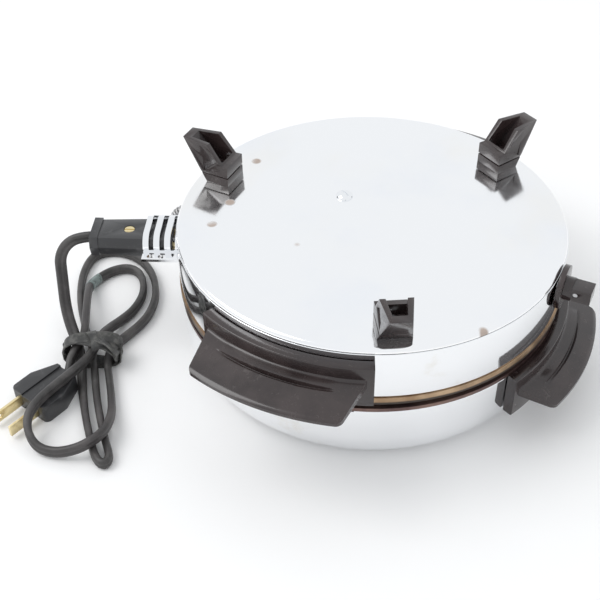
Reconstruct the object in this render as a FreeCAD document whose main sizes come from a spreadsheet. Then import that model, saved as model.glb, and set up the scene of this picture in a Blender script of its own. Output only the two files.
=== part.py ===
import FreeCAD, Part
import math
import os
import Sketcher

# Round waffle maker, resting upside down on its lid, as it is stored.
# Frame: millimetres, +Z up, origin on the vertical axis of the two round shells, at the table.
# The lid is the lower half here, the heating base with its three feet is the upper half,
# the hinge is at +Y and the lid handle at -Y.

os.makedirs("parts", exist_ok=True)
doc = FreeCAD.newDocument("waffle_maker")
sheet = doc.addObject("Spreadsheet::Sheet", "Sizes")

SIZES = {
    # shells
    "shell_radius": 100.4,
    "shell_wall": 0.8,
    "lid_radius": 100.0,
    "lid_height": 40.0,
    "lid_corner": 21.0,
    "lid_rim_lip": 8.0,
    "rim_gap": 3.5,
    "base_wall_height": 27.3,
    "base_lip": 6.0,
    "plate_radius": 100.0,
    "plate_edge_radius": 2.4,
    "plate_sheet": 1.0,
    "plate_skirt": 4.5,
    "seam_gap": 0.2,
    "seat_gap": 0.3,
    "cut_past": 1.0,
    "join_lap": 1.0,
    # cast grids
    "lid_flange_radius": 100.2,
    "lid_flange_thickness": 2.1,
    "base_flange_radius": 100.8,
    "base_flange_thickness": 4.1,
    "pan_radius": 86.5,
    "pan_wall": 2.5,
    "pan_depth": 9.0,
    "pan_floor": 3.0,
    "stud_field_radius": 84.0,
    "stud_recess": 2.0,
    "channel_width": 4.6,
    "channel_pitch": 13.0,
    "channel_count": 13,
    # heating
    "element_ring_radius": 60.0,
    "element_rod": 5.0,
    "element_sweep": 340.0,
    "insulator_count": 5,
    "insulator_length": 12.0,
    "insulator_width": 10.0,
    "insulator_height": 9.0,
    "insulator_hole_clearance": 0.3,
    "baffle_radius": 80.0,
    "baffle_sheet": 0.6,
    # feet
    "foot_count": 3,
    "foot_first_angle": 90.0,
    "foot_inner_radius": 79.5,
    "foot_inner_width": 16.6,
    "foot_base_depth": 13.0,
    "foot_base_outer_width": 16.6,
    "foot_block_height": 11.5,
    "foot_ledge": 3.4,
    "foot_height": 22.6,
    "foot_top_start": 11.6,
    "foot_top_end": 27.8,
    "foot_top_inner_width": 15.4,
    "foot_top_outer_width": 10.0,
    "foot_wall": 2.6,
    "foot_rim": 4.0,
    "foot_rim_side": 1.8,
    "foot_floor": 6.5,
    "foot_trough_start": 4.2,
    "foot_groove_height": 4.6,
    "foot_groove": 0.9,
    "foot_panel_half_width": 6.9,
    "foot_panel_low": 6.4,
    "foot_panel_low_place": 14.6,
    "foot_panel_front": 13.4,
    "foot_panel_front_place": 6.2,
    "foot_panel_high": 21.0,
    "foot_panel_high_place": 16.4,
    "foot_screw_offset": 8.0,
    "foot_screw_diameter": 3.5,
    "foot_screw_head": 6.5,
    "foot_screw_head_height": 2.0,
    "foot_screw_end": 6.0,
    "foot_nut_height": 2.4,
    # plate screw
    "plate_screw_radius": 22.5,
    "plate_screw_angle": 61.2,
    "plate_screw_diameter": 4.0,
    "plate_screw_head": 9.0,
    "plate_screw_head_height": 2.4,
    "plate_boss_diameter": 9.0,
    # handles
    "left_handle_angle": 180.0,
    "right_handle_angle": 0.0,
    "lid_handle_angle": 270.0,
    "handle_gap": 0.4,
    "handle_plate_thickness": 5.6,
    "handle_plate_height": 24.0,
    "handle_plate_sweep": 49.0,
    "lid_handle_plate_top": 41.0,
    "handle_root_drop": 7.5,
    "handle_slope_drop": 5.5,
    "handle_edge_thickness": 2.4,
    "handle_root_thickness": 5.0,
    "side_handle_reach": 128.0,
    "lid_handle_reach": 122.0,
    "handle_width": 80.0,
    "grip_ridge_width": 5.2,
    "grip_ridge_height": 1.1,
    "grip_ridge_sweep": 30.0,
    "grip_groove_width": 1.0,
    "grip_groove_depth": 1.2,
    "handle_screw_angle": 13.0,
    "handle_screw_diameter": 3.0,
    "handle_screw_head": 6.0,
    "handle_screw_head_height": 2.0,
    "handle_screw_drop": 17.3,
    "handle_screw_end": 1.2,
    "handle_hole_end": 0.8,
    # hinge
    "hinge_offset": 7.5,
    "hinge_barrel_diameter": 8.4,
    "hinge_pin_diameter": 3.0,
    "hinge_running_clearance": 0.05,
    "hinge_base_knuckle": 6.4,
    "hinge_lid_knuckle": 4.0,
    "hinge_knuckle_gap": 0.35,
    "hinge_leaf_thickness": 1.6,
    "hinge_arm": 3.4,
    "hinge_pin_end": 1.0,
    "hinge_pin_end_extra": 1.0,
    # plug guard and plug
    "plug_angle": 113.0,
    "plug_height": 62.4,
    "guard_reach": 118.0,
    "guard_width": 26.0,
    "guard_depth": 17.2,
    "guard_corner": 7.0,
    "guard_sheet": 0.8,
    "guard_flange_width": 6.5,
    "guard_flange_thickness": 1.6,
    "guard_slot_count": 3,
    "guard_slot_width": 2.5,
    "guard_slot_pitch": 5.7,
    "guard_slot_start": 101.0,
    "guard_slot_side": 1.8,
    "guard_notch_diameter": 3.4,
    "pin_spacing": 12.7,
    "pin_diameter": 4.0,
    "pin_start_radius": 87.0,
    "wall_way_start": 91.0,
    "pin_outer_radius": 114.0,
    "terminal_block_width": 24.0,
    "terminal_block_depth": 8.0,
    "terminal_block_height": 17.0,
    "plug_tip_gap": 5.0,
    "plug_end_radius": 147.0,
    "plug_flat_width": 18.6,
    "plug_middle_width": 22.0,
    "plug_thickness": 12.0,
    "plug_end_scale": 0.86,
    "plug_collar_length": 4.5,
    "plug_collar_extra": 0.8,
    "contact_wall": 0.7,
    "contact_recess": 0.5,
    "contact_end_gap": 0.3,
    "contact_end_wall": 0.7,
    "contact_back_gap": 1.0,
    "plug_screw_radius": 127.0,
    "plug_screw_diameter": 2.6,
    "plug_screw_head": 5.4,
    "plug_screw_slot": 0.8,
    "plug_screw_slot_depth": 0.6,
    "plug_boss_height": 4.8,
    # heat control
    "control_angle": 270.0,
    "control_height": 69.3,
    "knob_gap": 0.6,
    "knob_skirt_diameter": 22.3,
    "knob_skirt_thickness": 2.6,
    "knob_hub_diameter": 12.0,
    "knob_hub_length": 4.0,
    "knob_bar_width": 9.0,
    "knob_bar_height": 7.2,
    "knob_reach": 117.0,
    "shaft_diameter": 4.0,
    "shaft_inner_radius": 90.5,
    "thermostat_width": 22.0,
    "thermostat_height": 26.0,
    "thermostat_depth": 6.0,
    "blade_sheet": 0.7,
    "blade_width": 8.0,
    "blade_length": 30.0,
    # lid lead conduit
    "conduit_offset": -12.5,
    "conduit_coil_diameter": 6.0,
    "conduit_wire_diameter": 1.3,
    "conduit_pitch": 2.2,
    "conduit_bend_radius": 15.0,
    "conduit_middle_height": 46.0,
    # cord
    "cord_diameter": 5.6,
    "wall_plug_length": 27.0,
    "wall_plug_width": 26.0,
    "wall_plug_thickness": 11.0,
    "wall_plug_waist": 8.6,
    "wall_plug_cord_gap": 0.9,
    "wall_plug_cord_depth": 6.8,
    "blade_thickness": 1.5,
    "blade_height": 6.35,
    "blade_spacing": 12.7,
    "prong_length": 18.0,
    "wall_plug_x": -120.2,
    "wall_plug_y": 129.9,
    "wall_plug_turn": 168.0,
    "tie_width": 11.0,
    "tie_sheet": 1.2,
    "tie_length": 30.6,
    "tie_height": 16.4,
    # hinge leaves and rivets
    "hinge_leaf_width": 17.0,
    "hinge_leaf_height": 22.0,
    "hinge_base_leaf_low": 51.0,
    "hinge_lid_leaf_low": 14.0,
    "hinge_shelf": 3.0,
    "hinge_knuckle_span": 15.1,
    "leaf_gap": 0.4,
    "rivet_diameter": 2.4,
    "rivet_head": 4.4,
    "rivet_head_height": 1.0,
    "rivet_offset": 5.5,
    "rivet_inset": 0.9,
    "guard_blank": 26.0,
    "guard_notch_offset": 4.0,
    "guard_slot_length": 24.0,
    "guard_slot_shift": 3.0,
    "terminal_block_radius": 94.0,
    "pin_way_gap": 1.5,
    "plug_wiring_end": 133.0,
    "plug_wiring_length": 18.0,
    "plug_wiring_width": 14.0,
    "plug_wiring_height": 6.0,
    "plug_screw_depth": 5.0,
    "plug_screw_end": 4.0,
    "plug_screw_seat": 3.6,
    "plug_screw_head_height": 1.6,
    "knob_shaft_end": 112.0,
    "knob_set_radius": 109.5,
    "set_screw_diameter": 2.4,
    "thermostat_radius": 93.6,
    "blade_rise": 2.6,
    "blade_step": 2.6,
    "wall_plug_back": 14.0,
    "wall_plug_corner": 3.0,
    "wall_plug_valley": 9.0,
    "prong_root": 8.0,
    "prong_eye": 3.0,
    "prong_eye_place": 14.4,
    "tie_corner": 5.0,
    "tie_knot": 12.0,
    "tie_knot_rise": 4.0,
    "tie_knot_shift": -4.0,
    "tie_tail": 11.0,
    "tie_tail_width": 8.8,
    "tie_tail_shift": 2.8,
    "tie_x": -86.9,
    "tie_y": 124.3,
    "tie_lift": 0.3,
    "tie_turn": 199.3,
    "conduit_start_gap": -1.3,
    "side_plate_drop": 3.0,
    "insulator_first": 20.0,
    "plate_screw_depth": 14.0,
    "plate_screw_slot": 1.1,
    "plate_screw_slot_depth": 1.0,
}

for row, (alias, number) in enumerate(SIZES.items(), start=1):
    sheet.set(f"A{row}", alias)
    sheet.set(f"B{row}", str(number))
    sheet.setAlias(f"B{row}", alias)
doc.recompute()


class Size:
    """A length or angle with its value and the sheet expression that gives it."""

    def __init__(self, value, text):
        self.value = float(value)
        self.text = text

    def __add__(self, other):
        other = as_size(other)
        return Size(self.value + other.value, f"({self.text} + {other.text})")

    def __radd__(self, other):
        return as_size(other) + self

    def __sub__(self, other):
        other = as_size(other)
        return Size(self.value - other.value, f"({self.text} - {other.text})")

    def __rsub__(self, other):
        return as_size(other) - self

    def __mul__(self, other):
        other = as_size(other)
        return Size(self.value * other.value, f"({self.text} * {other.text})")

    def __rmul__(self, other):
        return as_size(other) * self

    def __truediv__(self, other):
        other = as_size(other)
        return Size(self.value / other.value, f"({self.text} / {other.text})")

    def __rtruediv__(self, other):
        return as_size(other) / self

    def __neg__(self):
        return Size(-self.value, f"(0 - {self.text})")


def as_size(thing):
    return thing if isinstance(thing, Size) else Size(thing, f"{thing:.6g}")


class Sizes:
    """Gives each sheet cell by its alias."""

    def __getattr__(self, alias):
        return Size(sheet.get(alias), f"Sizes.{alias}")


S = Sizes()
NODES = []


def bind(thing, name, size):
    """Ties a property or a named constraint to the sheet."""
    size = as_size(size)
    thing.setExpression(name, size.text)


def place(thing, x=0, y=0, z=0, turn=0, axis=(0, 0, 1)):
    """Moves a piece to a point and turns it about an axis through that point."""
    turn = as_size(turn)
    thing.Placement = FreeCAD.Placement(
        FreeCAD.Vector(), FreeCAD.Rotation(FreeCAD.Vector(*axis), turn.value or 1.0))
    for letter, size in zip("xyz", (x, y, z)):
        bind(thing, f"Placement.Base.{letter}", size)
    bind(thing, "Placement.Rotation.Angle", turn)
    return thing


def node(thing, label):
    """Marks a finished sub-part: its label names its file."""
    thing.Label = label
    NODES.append(thing)
    return thing


def new_body(name):
    return doc.addObject("PartDesign::Body", name)


def new_sketch(body, name, role="XZ_Plane", offset=None):
    """A sketch on one of its body's own origin planes, lifted by an offset along the normal."""
    sketch = body.newObject("Sketcher::SketchObject", name)
    plane = [f for f in body.Origin.OriginFeatures if f.Role == role][0]
    sketch.AttachmentSupport = [(plane, "")]
    sketch.MapMode = "FlatFace"
    if offset is not None:
        bind(sketch, "AttachmentOffset.Base.z", offset)
    return sketch


def outline(sketch, points, arcs=None):
    """Closed outline through points; arcs maps a segment to its radius and to the side it bulges
    towards, -1 for the right of its direction and 1 for the left."""
    arcs = arcs or {}
    points = [(as_size(u), as_size(v)) for u, v in points]
    count = len(points)
    # the sketcher keeps arcs anticlockwise, so one that bulges left is drawn from its end
    swapped = {i for i in arcs if arcs[i][1] > 0}
    for i in range(count):
        a = FreeCAD.Vector(points[i][0].value, points[i][1].value, 0)
        b = FreeCAD.Vector(points[(i + 1) % count][0].value, points[(i + 1) % count][1].value, 0)
        if i in arcs:
            middle = arc_middle(a, b, as_size(arcs[i][0]).value * arcs[i][1])
            ends = (b, a) if i in swapped else (a, b)
            sketch.addGeometry(Part.Arc(ends[0], middle, ends[1]), False)
        else:
            sketch.addGeometry(Part.LineSegment(a, b), False)
    for i in range(count):
        j = (i + 1) % count
        own_start, own_end = (2, 1) if i in swapped else (1, 2)
        next_start = 2 if j in swapped else 1
        sketch.addConstraint(Sketcher.Constraint("Coincident", i, own_end, j, next_start))
        for kind, size in (("DistanceX", points[i][0]), ("DistanceY", points[i][1])):
            index = sketch.addConstraint(Sketcher.Constraint(kind, -1, 1, i, own_start, size.value))
            bind(sketch, f"Constraints[{index}]", size)
        if i in arcs:
            index = sketch.addConstraint(Sketcher.Constraint("Radius", i, as_size(arcs[i][0]).value))
            bind(sketch, f"Constraints[{index}]", arcs[i][0])
    return sketch


def arc_middle(a, b, signed_radius):
    """Middle point of the short arc from a to b; a positive radius bulges to the left of a to b."""
    chord = b - a
    radius = abs(signed_radius)
    rise = radius - math.sqrt(max(radius ** 2 - (chord.Length / 2) ** 2, 0))
    left = FreeCAD.Vector(-chord.y, chord.x, 0).normalize()
    return (a + b) * 0.5 + left * math.copysign(rise, signed_radius)


def revolve(body, sketch, name, sweep=None):
    """Turns a sketch about the vertical axis, all round or symmetrically over a sweep."""
    feature = body.newObject("PartDesign::Revolution", name)
    feature.Profile = sketch
    feature.ReferenceAxis = (sketch, ["V_Axis"])
    if sweep is None:
        feature.Angle = 360.0
    else:
        feature.Midplane = True
        bind(feature, "Angle", sweep)
    body.Tip = feature
    return feature


def pad(body, sketch, name, length, midplane=False, reverse=False):
    feature = body.newObject("PartDesign::Pad", name)
    feature.Profile = sketch
    bind(feature, "Length", length)
    feature.Midplane = midplane
    feature.Reversed = reverse
    body.Tip = feature
    return feature


def primitive(kind, name, **sizes):
    thing = doc.addObject(kind, name)
    for key, size in sizes.items():
        bind(thing, key, size)
    return thing


def cylinder(name, radius, height, x=0, y=0, z=0, turn=0, axis=(0, 1, 0)):
    return place(primitive("Part::Cylinder", name, Radius=radius, Height=height), x, y, z, turn, axis)


def box(name, length, width, height, x=0, y=0, z=0):
    """A box centred on x and y, standing on z."""
    length, width = as_size(length), as_size(width)
    thing = primitive("Part::Box", name, Length=length, Width=width, Height=height)
    return place(thing, as_size(x) - length / 2, as_size(y) - width / 2, z)


def cut(name, base, tool):
    thing = doc.addObject("Part::Cut", name)
    thing.Base = base
    thing.Tool = tool
    return thing


def common(name, base, tool):
    thing = doc.addObject("Part::Common", name)
    thing.Base = base
    thing.Tool = tool
    return thing


def fuse(name, pieces):
    thing = doc.addObject("Part::MultiFuse", name)
    thing.Shapes = pieces
    return thing


def group(name, pieces, turn=0):
    """Separate solids kept together, turned about the vertical axis."""
    thing = doc.addObject("Part::Compound", name)
    thing.Links = pieces
    return place(thing, turn=turn)


# Heights that follow from the sheet
lid_flange_top = S.lid_height + S.lid_flange_thickness
base_flange_bottom = lid_flange_top + S.rim_gap
base_flange_top = base_flange_bottom + S.base_flange_thickness
base_wall_top = base_flange_top + S.base_wall_height
plate_edge_bottom = base_wall_top + S.seam_gap
plate_top = plate_edge_bottom + S.plate_edge_radius
hinge_y = S.shell_radius + S.hinge_offset
hinge_z = lid_flange_top + S.rim_gap / 2
base_grid_back = base_flange_bottom + S.pan_depth + S.pan_floor
lid_grid_back = lid_flange_top - S.pan_depth - S.pan_floor
foot_screw_radius = S.foot_inner_radius + S.foot_screw_offset
plug_tip = S.terminal_block_radius + S.terminal_block_depth / 2 + S.plug_tip_gap
pin_end = S.pin_outer_radius + S.pin_diameter / 2
contact_end = pin_end + S.contact_end_gap + S.contact_end_wall


def turned_ring(name, points, arcs=None, sweep=None):
    """A body turned about the vertical axis from one outline of radius and height."""
    body = new_body(name)
    sketch = outline(new_sketch(body, f"{name}_profile"), points, arcs)
    revolve(body, sketch, f"{name}_turn", sweep)
    return body


def radial_rod(name, radius, start, end, side=0, height=0):
    """A round rod along +X from one radius to another."""
    return cylinder(name, radius, as_size(end) - start, start, side, height, 90)


# Lid shell: a turned pan with a large corner, its rim folded inwards under the grid's flange
def make_lid_shell():
    wall = S.shell_wall
    flat = S.lid_radius - S.lid_corner
    lip = S.lid_radius - S.lid_rim_lip
    return turned_ring("lid_shell_raw", [
        (0, 0),
        (flat, 0),
        (S.lid_radius, S.lid_corner),
        (S.lid_radius, S.lid_height),
        (lip, S.lid_height),
        (lip, S.lid_height - wall),
        (S.lid_radius - wall, S.lid_height - wall),
        (S.lid_radius - wall, S.lid_corner),
        (flat, wall),
        (0, wall),
    ], {1: (S.lid_corner, -1), 7: (S.lid_corner - wall, 1)})


# Base wall: a straight ring with a lip that rests on the grid's flange
def make_base_wall():
    inner = S.shell_radius - S.shell_wall
    lip = S.shell_radius - S.base_lip
    return turned_ring("base_wall_raw", [
        (lip, base_flange_top),
        (S.shell_radius, base_flange_top),
        (S.shell_radius, base_wall_top),
        (inner, base_wall_top),
        (inner, base_flange_top + S.shell_wall),
        (lip, base_flange_top + S.shell_wall),
    ])


# Bottom plate: a flat disc with a rounded edge and a skirt that stands inside the wall
def make_bottom_plate():
    skirt = S.shell_radius - S.shell_wall - S.seat_gap
    inner = skirt - S.plate_sheet
    return turned_ring("bottom_plate_raw", [
        (0, plate_top - S.plate_sheet),
        (inner, plate_top - S.plate_sheet),
        (inner, plate_edge_bottom - S.plate_skirt),
        (skirt, plate_edge_bottom - S.plate_skirt),
        (skirt, plate_edge_bottom),
        (S.plate_radius, plate_edge_bottom),
        (S.plate_radius - S.plate_edge_radius, plate_top),
        (0, plate_top),
    ], {5: (S.plate_edge_radius, -1)})


# Waffle grid: square studs left between two sets of channels, inside a pan with a flat rim.
# It is drawn with the rim's mating face at height zero and the pan above it.
def make_grid(name, flange_radius, flange_thickness):
    body = new_body(name)
    studs = outline(new_sketch(body, f"{name}_stud_profile"), [
        (0, S.stud_recess),
        (S.stud_field_radius, S.stud_recess),
        (S.stud_field_radius, S.pan_depth + S.pan_floor / 2),
        (0, S.pan_depth + S.pan_floor / 2),
    ])
    revolve(body, studs, f"{name}_studs")
    half_run = S.channel_pitch * (S.channel_count - 1) / 2
    for letter, along_x in (("a", True), ("b", False)):
        sketch = new_sketch(body, f"{name}_channel_{letter}", "XY_Plane", S.stud_recess)
        low = -half_run - S.channel_width / 2
        long = S.stud_field_radius + S.pan_wall
        high = low + S.channel_width
        corners = [(-long, low), (long, low), (long, high), (-long, high)]
        if not along_x:
            corners = [(v, u) for u, v in reversed(corners)]
        outline(sketch, corners)
        pocket = body.newObject("PartDesign::Pocket", f"{name}_pocket_{letter}")
        pocket.Profile = sketch
        pocket.Reversed = True
        bind(pocket, "Length", S.pan_depth - S.stud_recess)
        body.Tip = pocket
        doc.recompute()
        pattern = body.newObject("PartDesign::LinearPattern", f"{name}_channels_{letter}")
        pattern.Originals = [pocket]
        pattern.Direction = (sketch, ["V_Axis" if along_x else "H_Axis"])
        bind(pattern, "Length", half_run * 2)
        bind(pattern, "Occurrences", S.channel_count)
        body.Tip = pattern
    outer = S.pan_radius + S.pan_wall
    pan = outline(new_sketch(body, f"{name}_pan_profile"), [
        (0, S.pan_depth),
        (S.pan_radius, S.pan_depth),
        (S.pan_radius, 0),
        (flange_radius, 0),
        (flange_radius, flange_thickness),
        (outer, flange_thickness),
        (outer, S.pan_depth + S.pan_floor),
        (0, S.pan_depth + S.pan_floor),
    ])
    revolve(body, pan, f"{name}_pan")
    return body


# Heating: a rod element on ceramic blocks between the grid's back and a baffle
def make_element(name):
    body = new_body(name)
    sketch = new_sketch(body, f"{name}_section")
    sketch.addGeometry(Part.Circle(
        FreeCAD.Vector(S.element_ring_radius.value, S.insulator_height.value / 2, 0),
        FreeCAD.Vector(0, 0, 1), S.element_rod.value / 2), False)
    for kind, args, size in (
            ("DistanceX", (-1, 1, 0, 3), S.element_ring_radius),
            ("DistanceY", (-1, 1, 0, 3), S.insulator_height / 2),
            ("Radius", (0,), S.element_rod / 2)):
        index = sketch.addConstraint(Sketcher.Constraint(kind, *args, size.value))
        bind(sketch, f"Constraints[{index}]", size)
    revolve(body, sketch, f"{name}_bend", S.element_sweep)
    return body


def make_insulators(name, first):
    """Ceramic blocks round the ring, each with a hole for the rod."""
    blocks = []
    for i in range(int(S.insulator_count.value)):
        block = box(f"{name}_block_{i}", S.insulator_width, S.insulator_length, S.insulator_height,
                    S.element_ring_radius)
        hole = primitive("Part::Torus", f"{name}_hole_{i}", Radius1=S.element_ring_radius,
                         Radius2=S.element_rod / 2 + S.insulator_hole_clearance)
        place(hole, z=S.insulator_height / 2)
        blocks.append(place(cut(f"{name}_{i}", block, hole), turn=first + 360 / S.insulator_count * i))
    return group(name, blocks)


def make_baffle(name):
    return turned_ring(name, [(0, 0), (S.baffle_radius, 0), (S.baffle_radius, S.baffle_sheet),
                              (0, S.baffle_sheet)])


# Bakelite handle: an upright plate on the wall and a sloping grip, drawn for a wall of the given
# radius with the plate's upper edge at height zero
def make_handle(name, wall_radius, reach):
    inner = wall_radius + S.handle_gap
    face = inner + S.handle_plate_thickness
    drop = S.handle_root_drop
    slope = S.handle_slope_drop / (reach - face)

    def grip_height(radius):
        return -drop - slope * (radius - face)

    plate = turned_ring(f"{name}_plate", [
        (inner, -S.handle_plate_height), (face, -S.handle_plate_height), (face, 0), (inner, 0),
    ], sweep=S.handle_plate_sweep)
    overlap = face - S.handle_plate_thickness / 2
    grip = turned_ring(f"{name}_grip", [
        (overlap, grip_height(face) - S.handle_root_thickness),
        (reach, grip_height(reach) - S.handle_edge_thickness),
        (reach, grip_height(reach)),
        (face, grip_height(face)),
        (overlap, grip_height(face)),
    ], sweep=S.handle_plate_sweep)
    ridge_end = face + S.grip_ridge_width
    rise = S.grip_ridge_height
    ridge = turned_ring(f"{name}_ridge", [
        (overlap, grip_height(face) - rise),
        (ridge_end, grip_height(ridge_end) - rise),
        (ridge_end, grip_height(ridge_end) + rise),
        (overlap, grip_height(face) + rise),
    ], sweep=S.grip_ridge_sweep)
    groove_end = ridge_end + S.grip_groove_width
    groove = turned_ring(f"{name}_groove", [
        (ridge_end, grip_height(ridge_end) - S.grip_groove_depth),
        (groove_end, grip_height(groove_end) - S.grip_groove_depth),
        (groove_end, rise),
        (ridge_end, rise),
    ], sweep=S.grip_ridge_sweep)
    width = box(f"{name}_width", reach * 2, S.handle_width, S.handle_plate_height * 2,
                z=-S.handle_plate_height * 2)
    trimmed = common(f"{name}_trimmed", fuse(f"{name}_top", [grip, ridge]), width)
    whole = fuse(f"{name}_whole", [plate, trimmed])
    holes = []
    for side in (-1, 1):
        hole = radial_rod(f"{name}_hole_{side}", S.handle_screw_diameter / 2 + S.hinge_running_clearance,
                          inner - S.cut_past, face - S.handle_hole_end, height=-S.handle_screw_drop)
        holes.append(group(f"{name}_hole_turn_{side}", [hole], S.handle_screw_angle * side))
    cutters = group(f"{name}_cutters", [groove] + holes)
    return cut(name + "_raw", whole, cutters)


def make_handle_screws(name, wall_radius):
    """Two screws from inside the shell into the handle's plate."""
    inner = wall_radius - S.shell_wall
    tip = wall_radius + S.handle_gap + S.handle_plate_thickness - S.handle_screw_end
    screws = []
    for side in (-1, 1):
        head_end = inner - S.seat_gap
        head_start = head_end - S.handle_screw_head_height
        shank = radial_rod(f"{name}_shank_{side}", S.handle_screw_diameter / 2, head_start, tip,
                           height=-S.handle_screw_drop)
        head = radial_rod(f"{name}_head_{side}", S.handle_screw_head / 2, head_start, head_end,
                          height=-S.handle_screw_drop)
        screws.append(group(f"{name}_turn_{side}", [fuse(f"{name}_{side}", [shank, head])],
                            S.handle_screw_angle * side))
    return group(name + "_raw", screws)


def wall_holes(name, wall_radius, plate_top_height, angle):
    """Clearance holes in a shell for one handle's screws."""
    holes = []
    for side in (-1, 1):
        rod = radial_rod(f"{name}_{side}", S.handle_screw_diameter / 2 + S.seat_gap,
                         wall_radius - S.lid_rim_lip, wall_radius + S.lid_rim_lip,
                         height=plate_top_height - S.handle_screw_drop)
        holes.append(group(f"{name}_turn_{side}", [rod], angle + S.handle_screw_angle * side))
    return holes


# Foot: a grooved block with a trough that leans outwards and opens towards the middle
def quad(body, name, height, inner, inner_width, outer, outer_width):
    """A level section of a foot, measured outwards from its inner face."""
    start = S.foot_inner_radius
    sketch = new_sketch(body, name, "XY_Plane", height)
    return outline(sketch, [
        (start + inner, -inner_width / 2), (start + outer, -outer_width / 2),
        (start + outer, outer_width / 2), (start + inner, inner_width / 2),
    ])


def loft(kind, body, name, sections):
    feature = body.newObject(kind, name)
    feature.Profile = sections[0]
    feature.Sections = sections[1:]
    feature.Ruled = True
    body.Tip = feature
    return feature


def make_foot(name):
    body = new_body(name)
    block, wall = S.foot_block_height, S.foot_wall
    share = block / S.foot_height
    # the outer face is one plane from the base to the top
    outer = S.foot_base_depth + (S.foot_top_end - S.foot_base_depth) * share
    outer_width = S.foot_base_outer_width - (S.foot_base_outer_width - S.foot_top_outer_width) * share
    ledge_width = S.foot_inner_width - (S.foot_inner_width - outer_width) * S.foot_ledge / outer
    low = quad(body, f"{name}_low", 0, as_size(0), S.foot_inner_width, S.foot_base_depth,
               S.foot_base_outer_width)
    middle = quad(body, f"{name}_middle", block, as_size(0), S.foot_inner_width, outer, outer_width)
    loft("PartDesign::AdditiveLoft", body, f"{name}_block", [low, middle])
    root = quad(body, f"{name}_root", block, S.foot_ledge, ledge_width, outer, outer_width)
    top = quad(body, f"{name}_top", S.foot_height, S.foot_top_start, S.foot_top_inner_width,
               S.foot_top_end, S.foot_top_outer_width)
    loft("PartDesign::AdditiveLoft", body, f"{name}_lean", [root, top])
    well = quad(body, f"{name}_well", S.foot_floor, S.foot_trough_start, S.foot_inner_width - wall * 2,
                S.foot_base_depth, S.foot_inner_width - wall * 2)
    rim = quad(body, f"{name}_rim", S.foot_height + S.cut_past, S.foot_trough_start,
               S.foot_top_inner_width - S.foot_rim_side * 2, S.foot_top_end - S.foot_rim,
               S.foot_top_outer_width - S.foot_rim_side * 2)
    loft("PartDesign::SubtractiveLoft", body, f"{name}_trough", [well, rim])
    return body


def foot_cutters(name):
    """The groove round the block, the sunk panel in each cheek and the screw hole."""
    depth, start = S.foot_groove, S.foot_inner_radius
    middle = start + S.foot_base_depth / 2
    length = S.foot_base_depth + S.foot_groove_height
    big = box(f"{name}_groove_big", length * 2, S.foot_inner_width * 2, depth, middle,
              z=S.foot_groove_height)
    core_length = S.foot_base_depth + S.foot_groove_height / 2
    core = box(f"{name}_groove_core", core_length, S.foot_inner_width - depth * 2, depth * 3,
               start + depth + core_length / 2, z=S.foot_groove_height - depth)
    groove = cut(f"{name}_groove", big, core)
    hole = cylinder(f"{name}_hole", S.foot_screw_diameter / 2 + S.seat_gap / 2, S.foot_height,
                    foot_screw_radius, z=-S.foot_height / 2)
    panels = new_body(f"{name}_panels")
    triangle = outline(new_sketch(panels, f"{name}_panel_shape"), [
        (start + S.foot_panel_low_place, S.foot_panel_low),
        (start + S.foot_panel_high_place, S.foot_panel_high),
        (start + S.foot_panel_front_place, S.foot_panel_front),
    ])
    pad(panels, triangle, f"{name}_panel_pad", S.foot_inner_width * 2, midplane=True)
    web = box(f"{name}_web", S.foot_top_end * 2, S.foot_panel_half_width * 2, S.foot_height, middle)
    return group(f"{name}_cutters", [groove, hole, cut(f"{name}_panel_pair", panels, web)])


def make_foot_screw(name):
    shank = cylinder(f"{name}_shank", S.foot_screw_diameter / 2, S.foot_floor + S.foot_screw_end,
                     foot_screw_radius, z=-S.foot_screw_end)
    head = cylinder(f"{name}_head", S.foot_screw_head / 2, S.foot_screw_head_height, foot_screw_radius,
                    z=S.foot_floor)
    nut = cylinder(f"{name}_nut", S.foot_screw_head / 2, S.foot_nut_height, foot_screw_radius,
                   z=-S.plate_sheet - S.foot_nut_height)
    return fuse(name, [shank, head, nut])


# Hinge at the back: two folded brackets whose barrels share one pin
def make_hinge_bracket(name, knuckles, leaf_low, leaf_inner, barrel_low):
    """Leaf on the shell, an arm under or over the rim, and one or two barrels on the pin."""
    radius = S.hinge_barrel_diameter / 2
    sheet = S.hinge_leaf_thickness
    leaf = box(f"{name}_leaf", S.hinge_leaf_width, sheet, S.hinge_leaf_height, 0, leaf_inner + sheet / 2,
               leaf_low)
    pieces = [leaf]
    cutters = [cylinder(f"{name}_bore", S.hinge_pin_diameter / 2 + S.hinge_running_clearance,
                        S.hinge_leaf_width * 2, -S.hinge_leaf_width, hinge_y, hinge_z, 90)]
    for i, (middle, width) in enumerate(knuckles):
        pieces.append(cylinder(f"{name}_barrel_{i}", radius, width, middle - width / 2, hinge_y,
                               hinge_z, 90))
        reach = hinge_y - leaf_inner
        shelf_z = leaf_low if barrel_low else leaf_low + S.hinge_leaf_height - S.hinge_shelf
        pieces.append(box(f"{name}_shelf_{i}", width, reach, S.hinge_shelf, middle,
                          leaf_inner + reach / 2, shelf_z))
        arm_low = hinge_z if barrel_low else shelf_z
        arm_high = leaf_low + S.hinge_shelf if barrel_low else hinge_z
        pieces.append(box(f"{name}_arm_{i}", width, S.hinge_arm, arm_high - arm_low, middle,
                          hinge_y - S.hinge_arm / 2, arm_low))
    for side in (-1, 1):
        cutters.append(cylinder(f"{name}_rivet_hole_{side}", S.rivet_diameter / 2 + S.seat_gap / 2,
                                sheet * 4, S.rivet_offset * side, leaf_inner - sheet,
                                leaf_low + S.hinge_leaf_height / 2, -90, (1, 0, 0)))
    return cut(name, fuse(f"{name}_solid", pieces), group(f"{name}_cutters", cutters))


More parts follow.
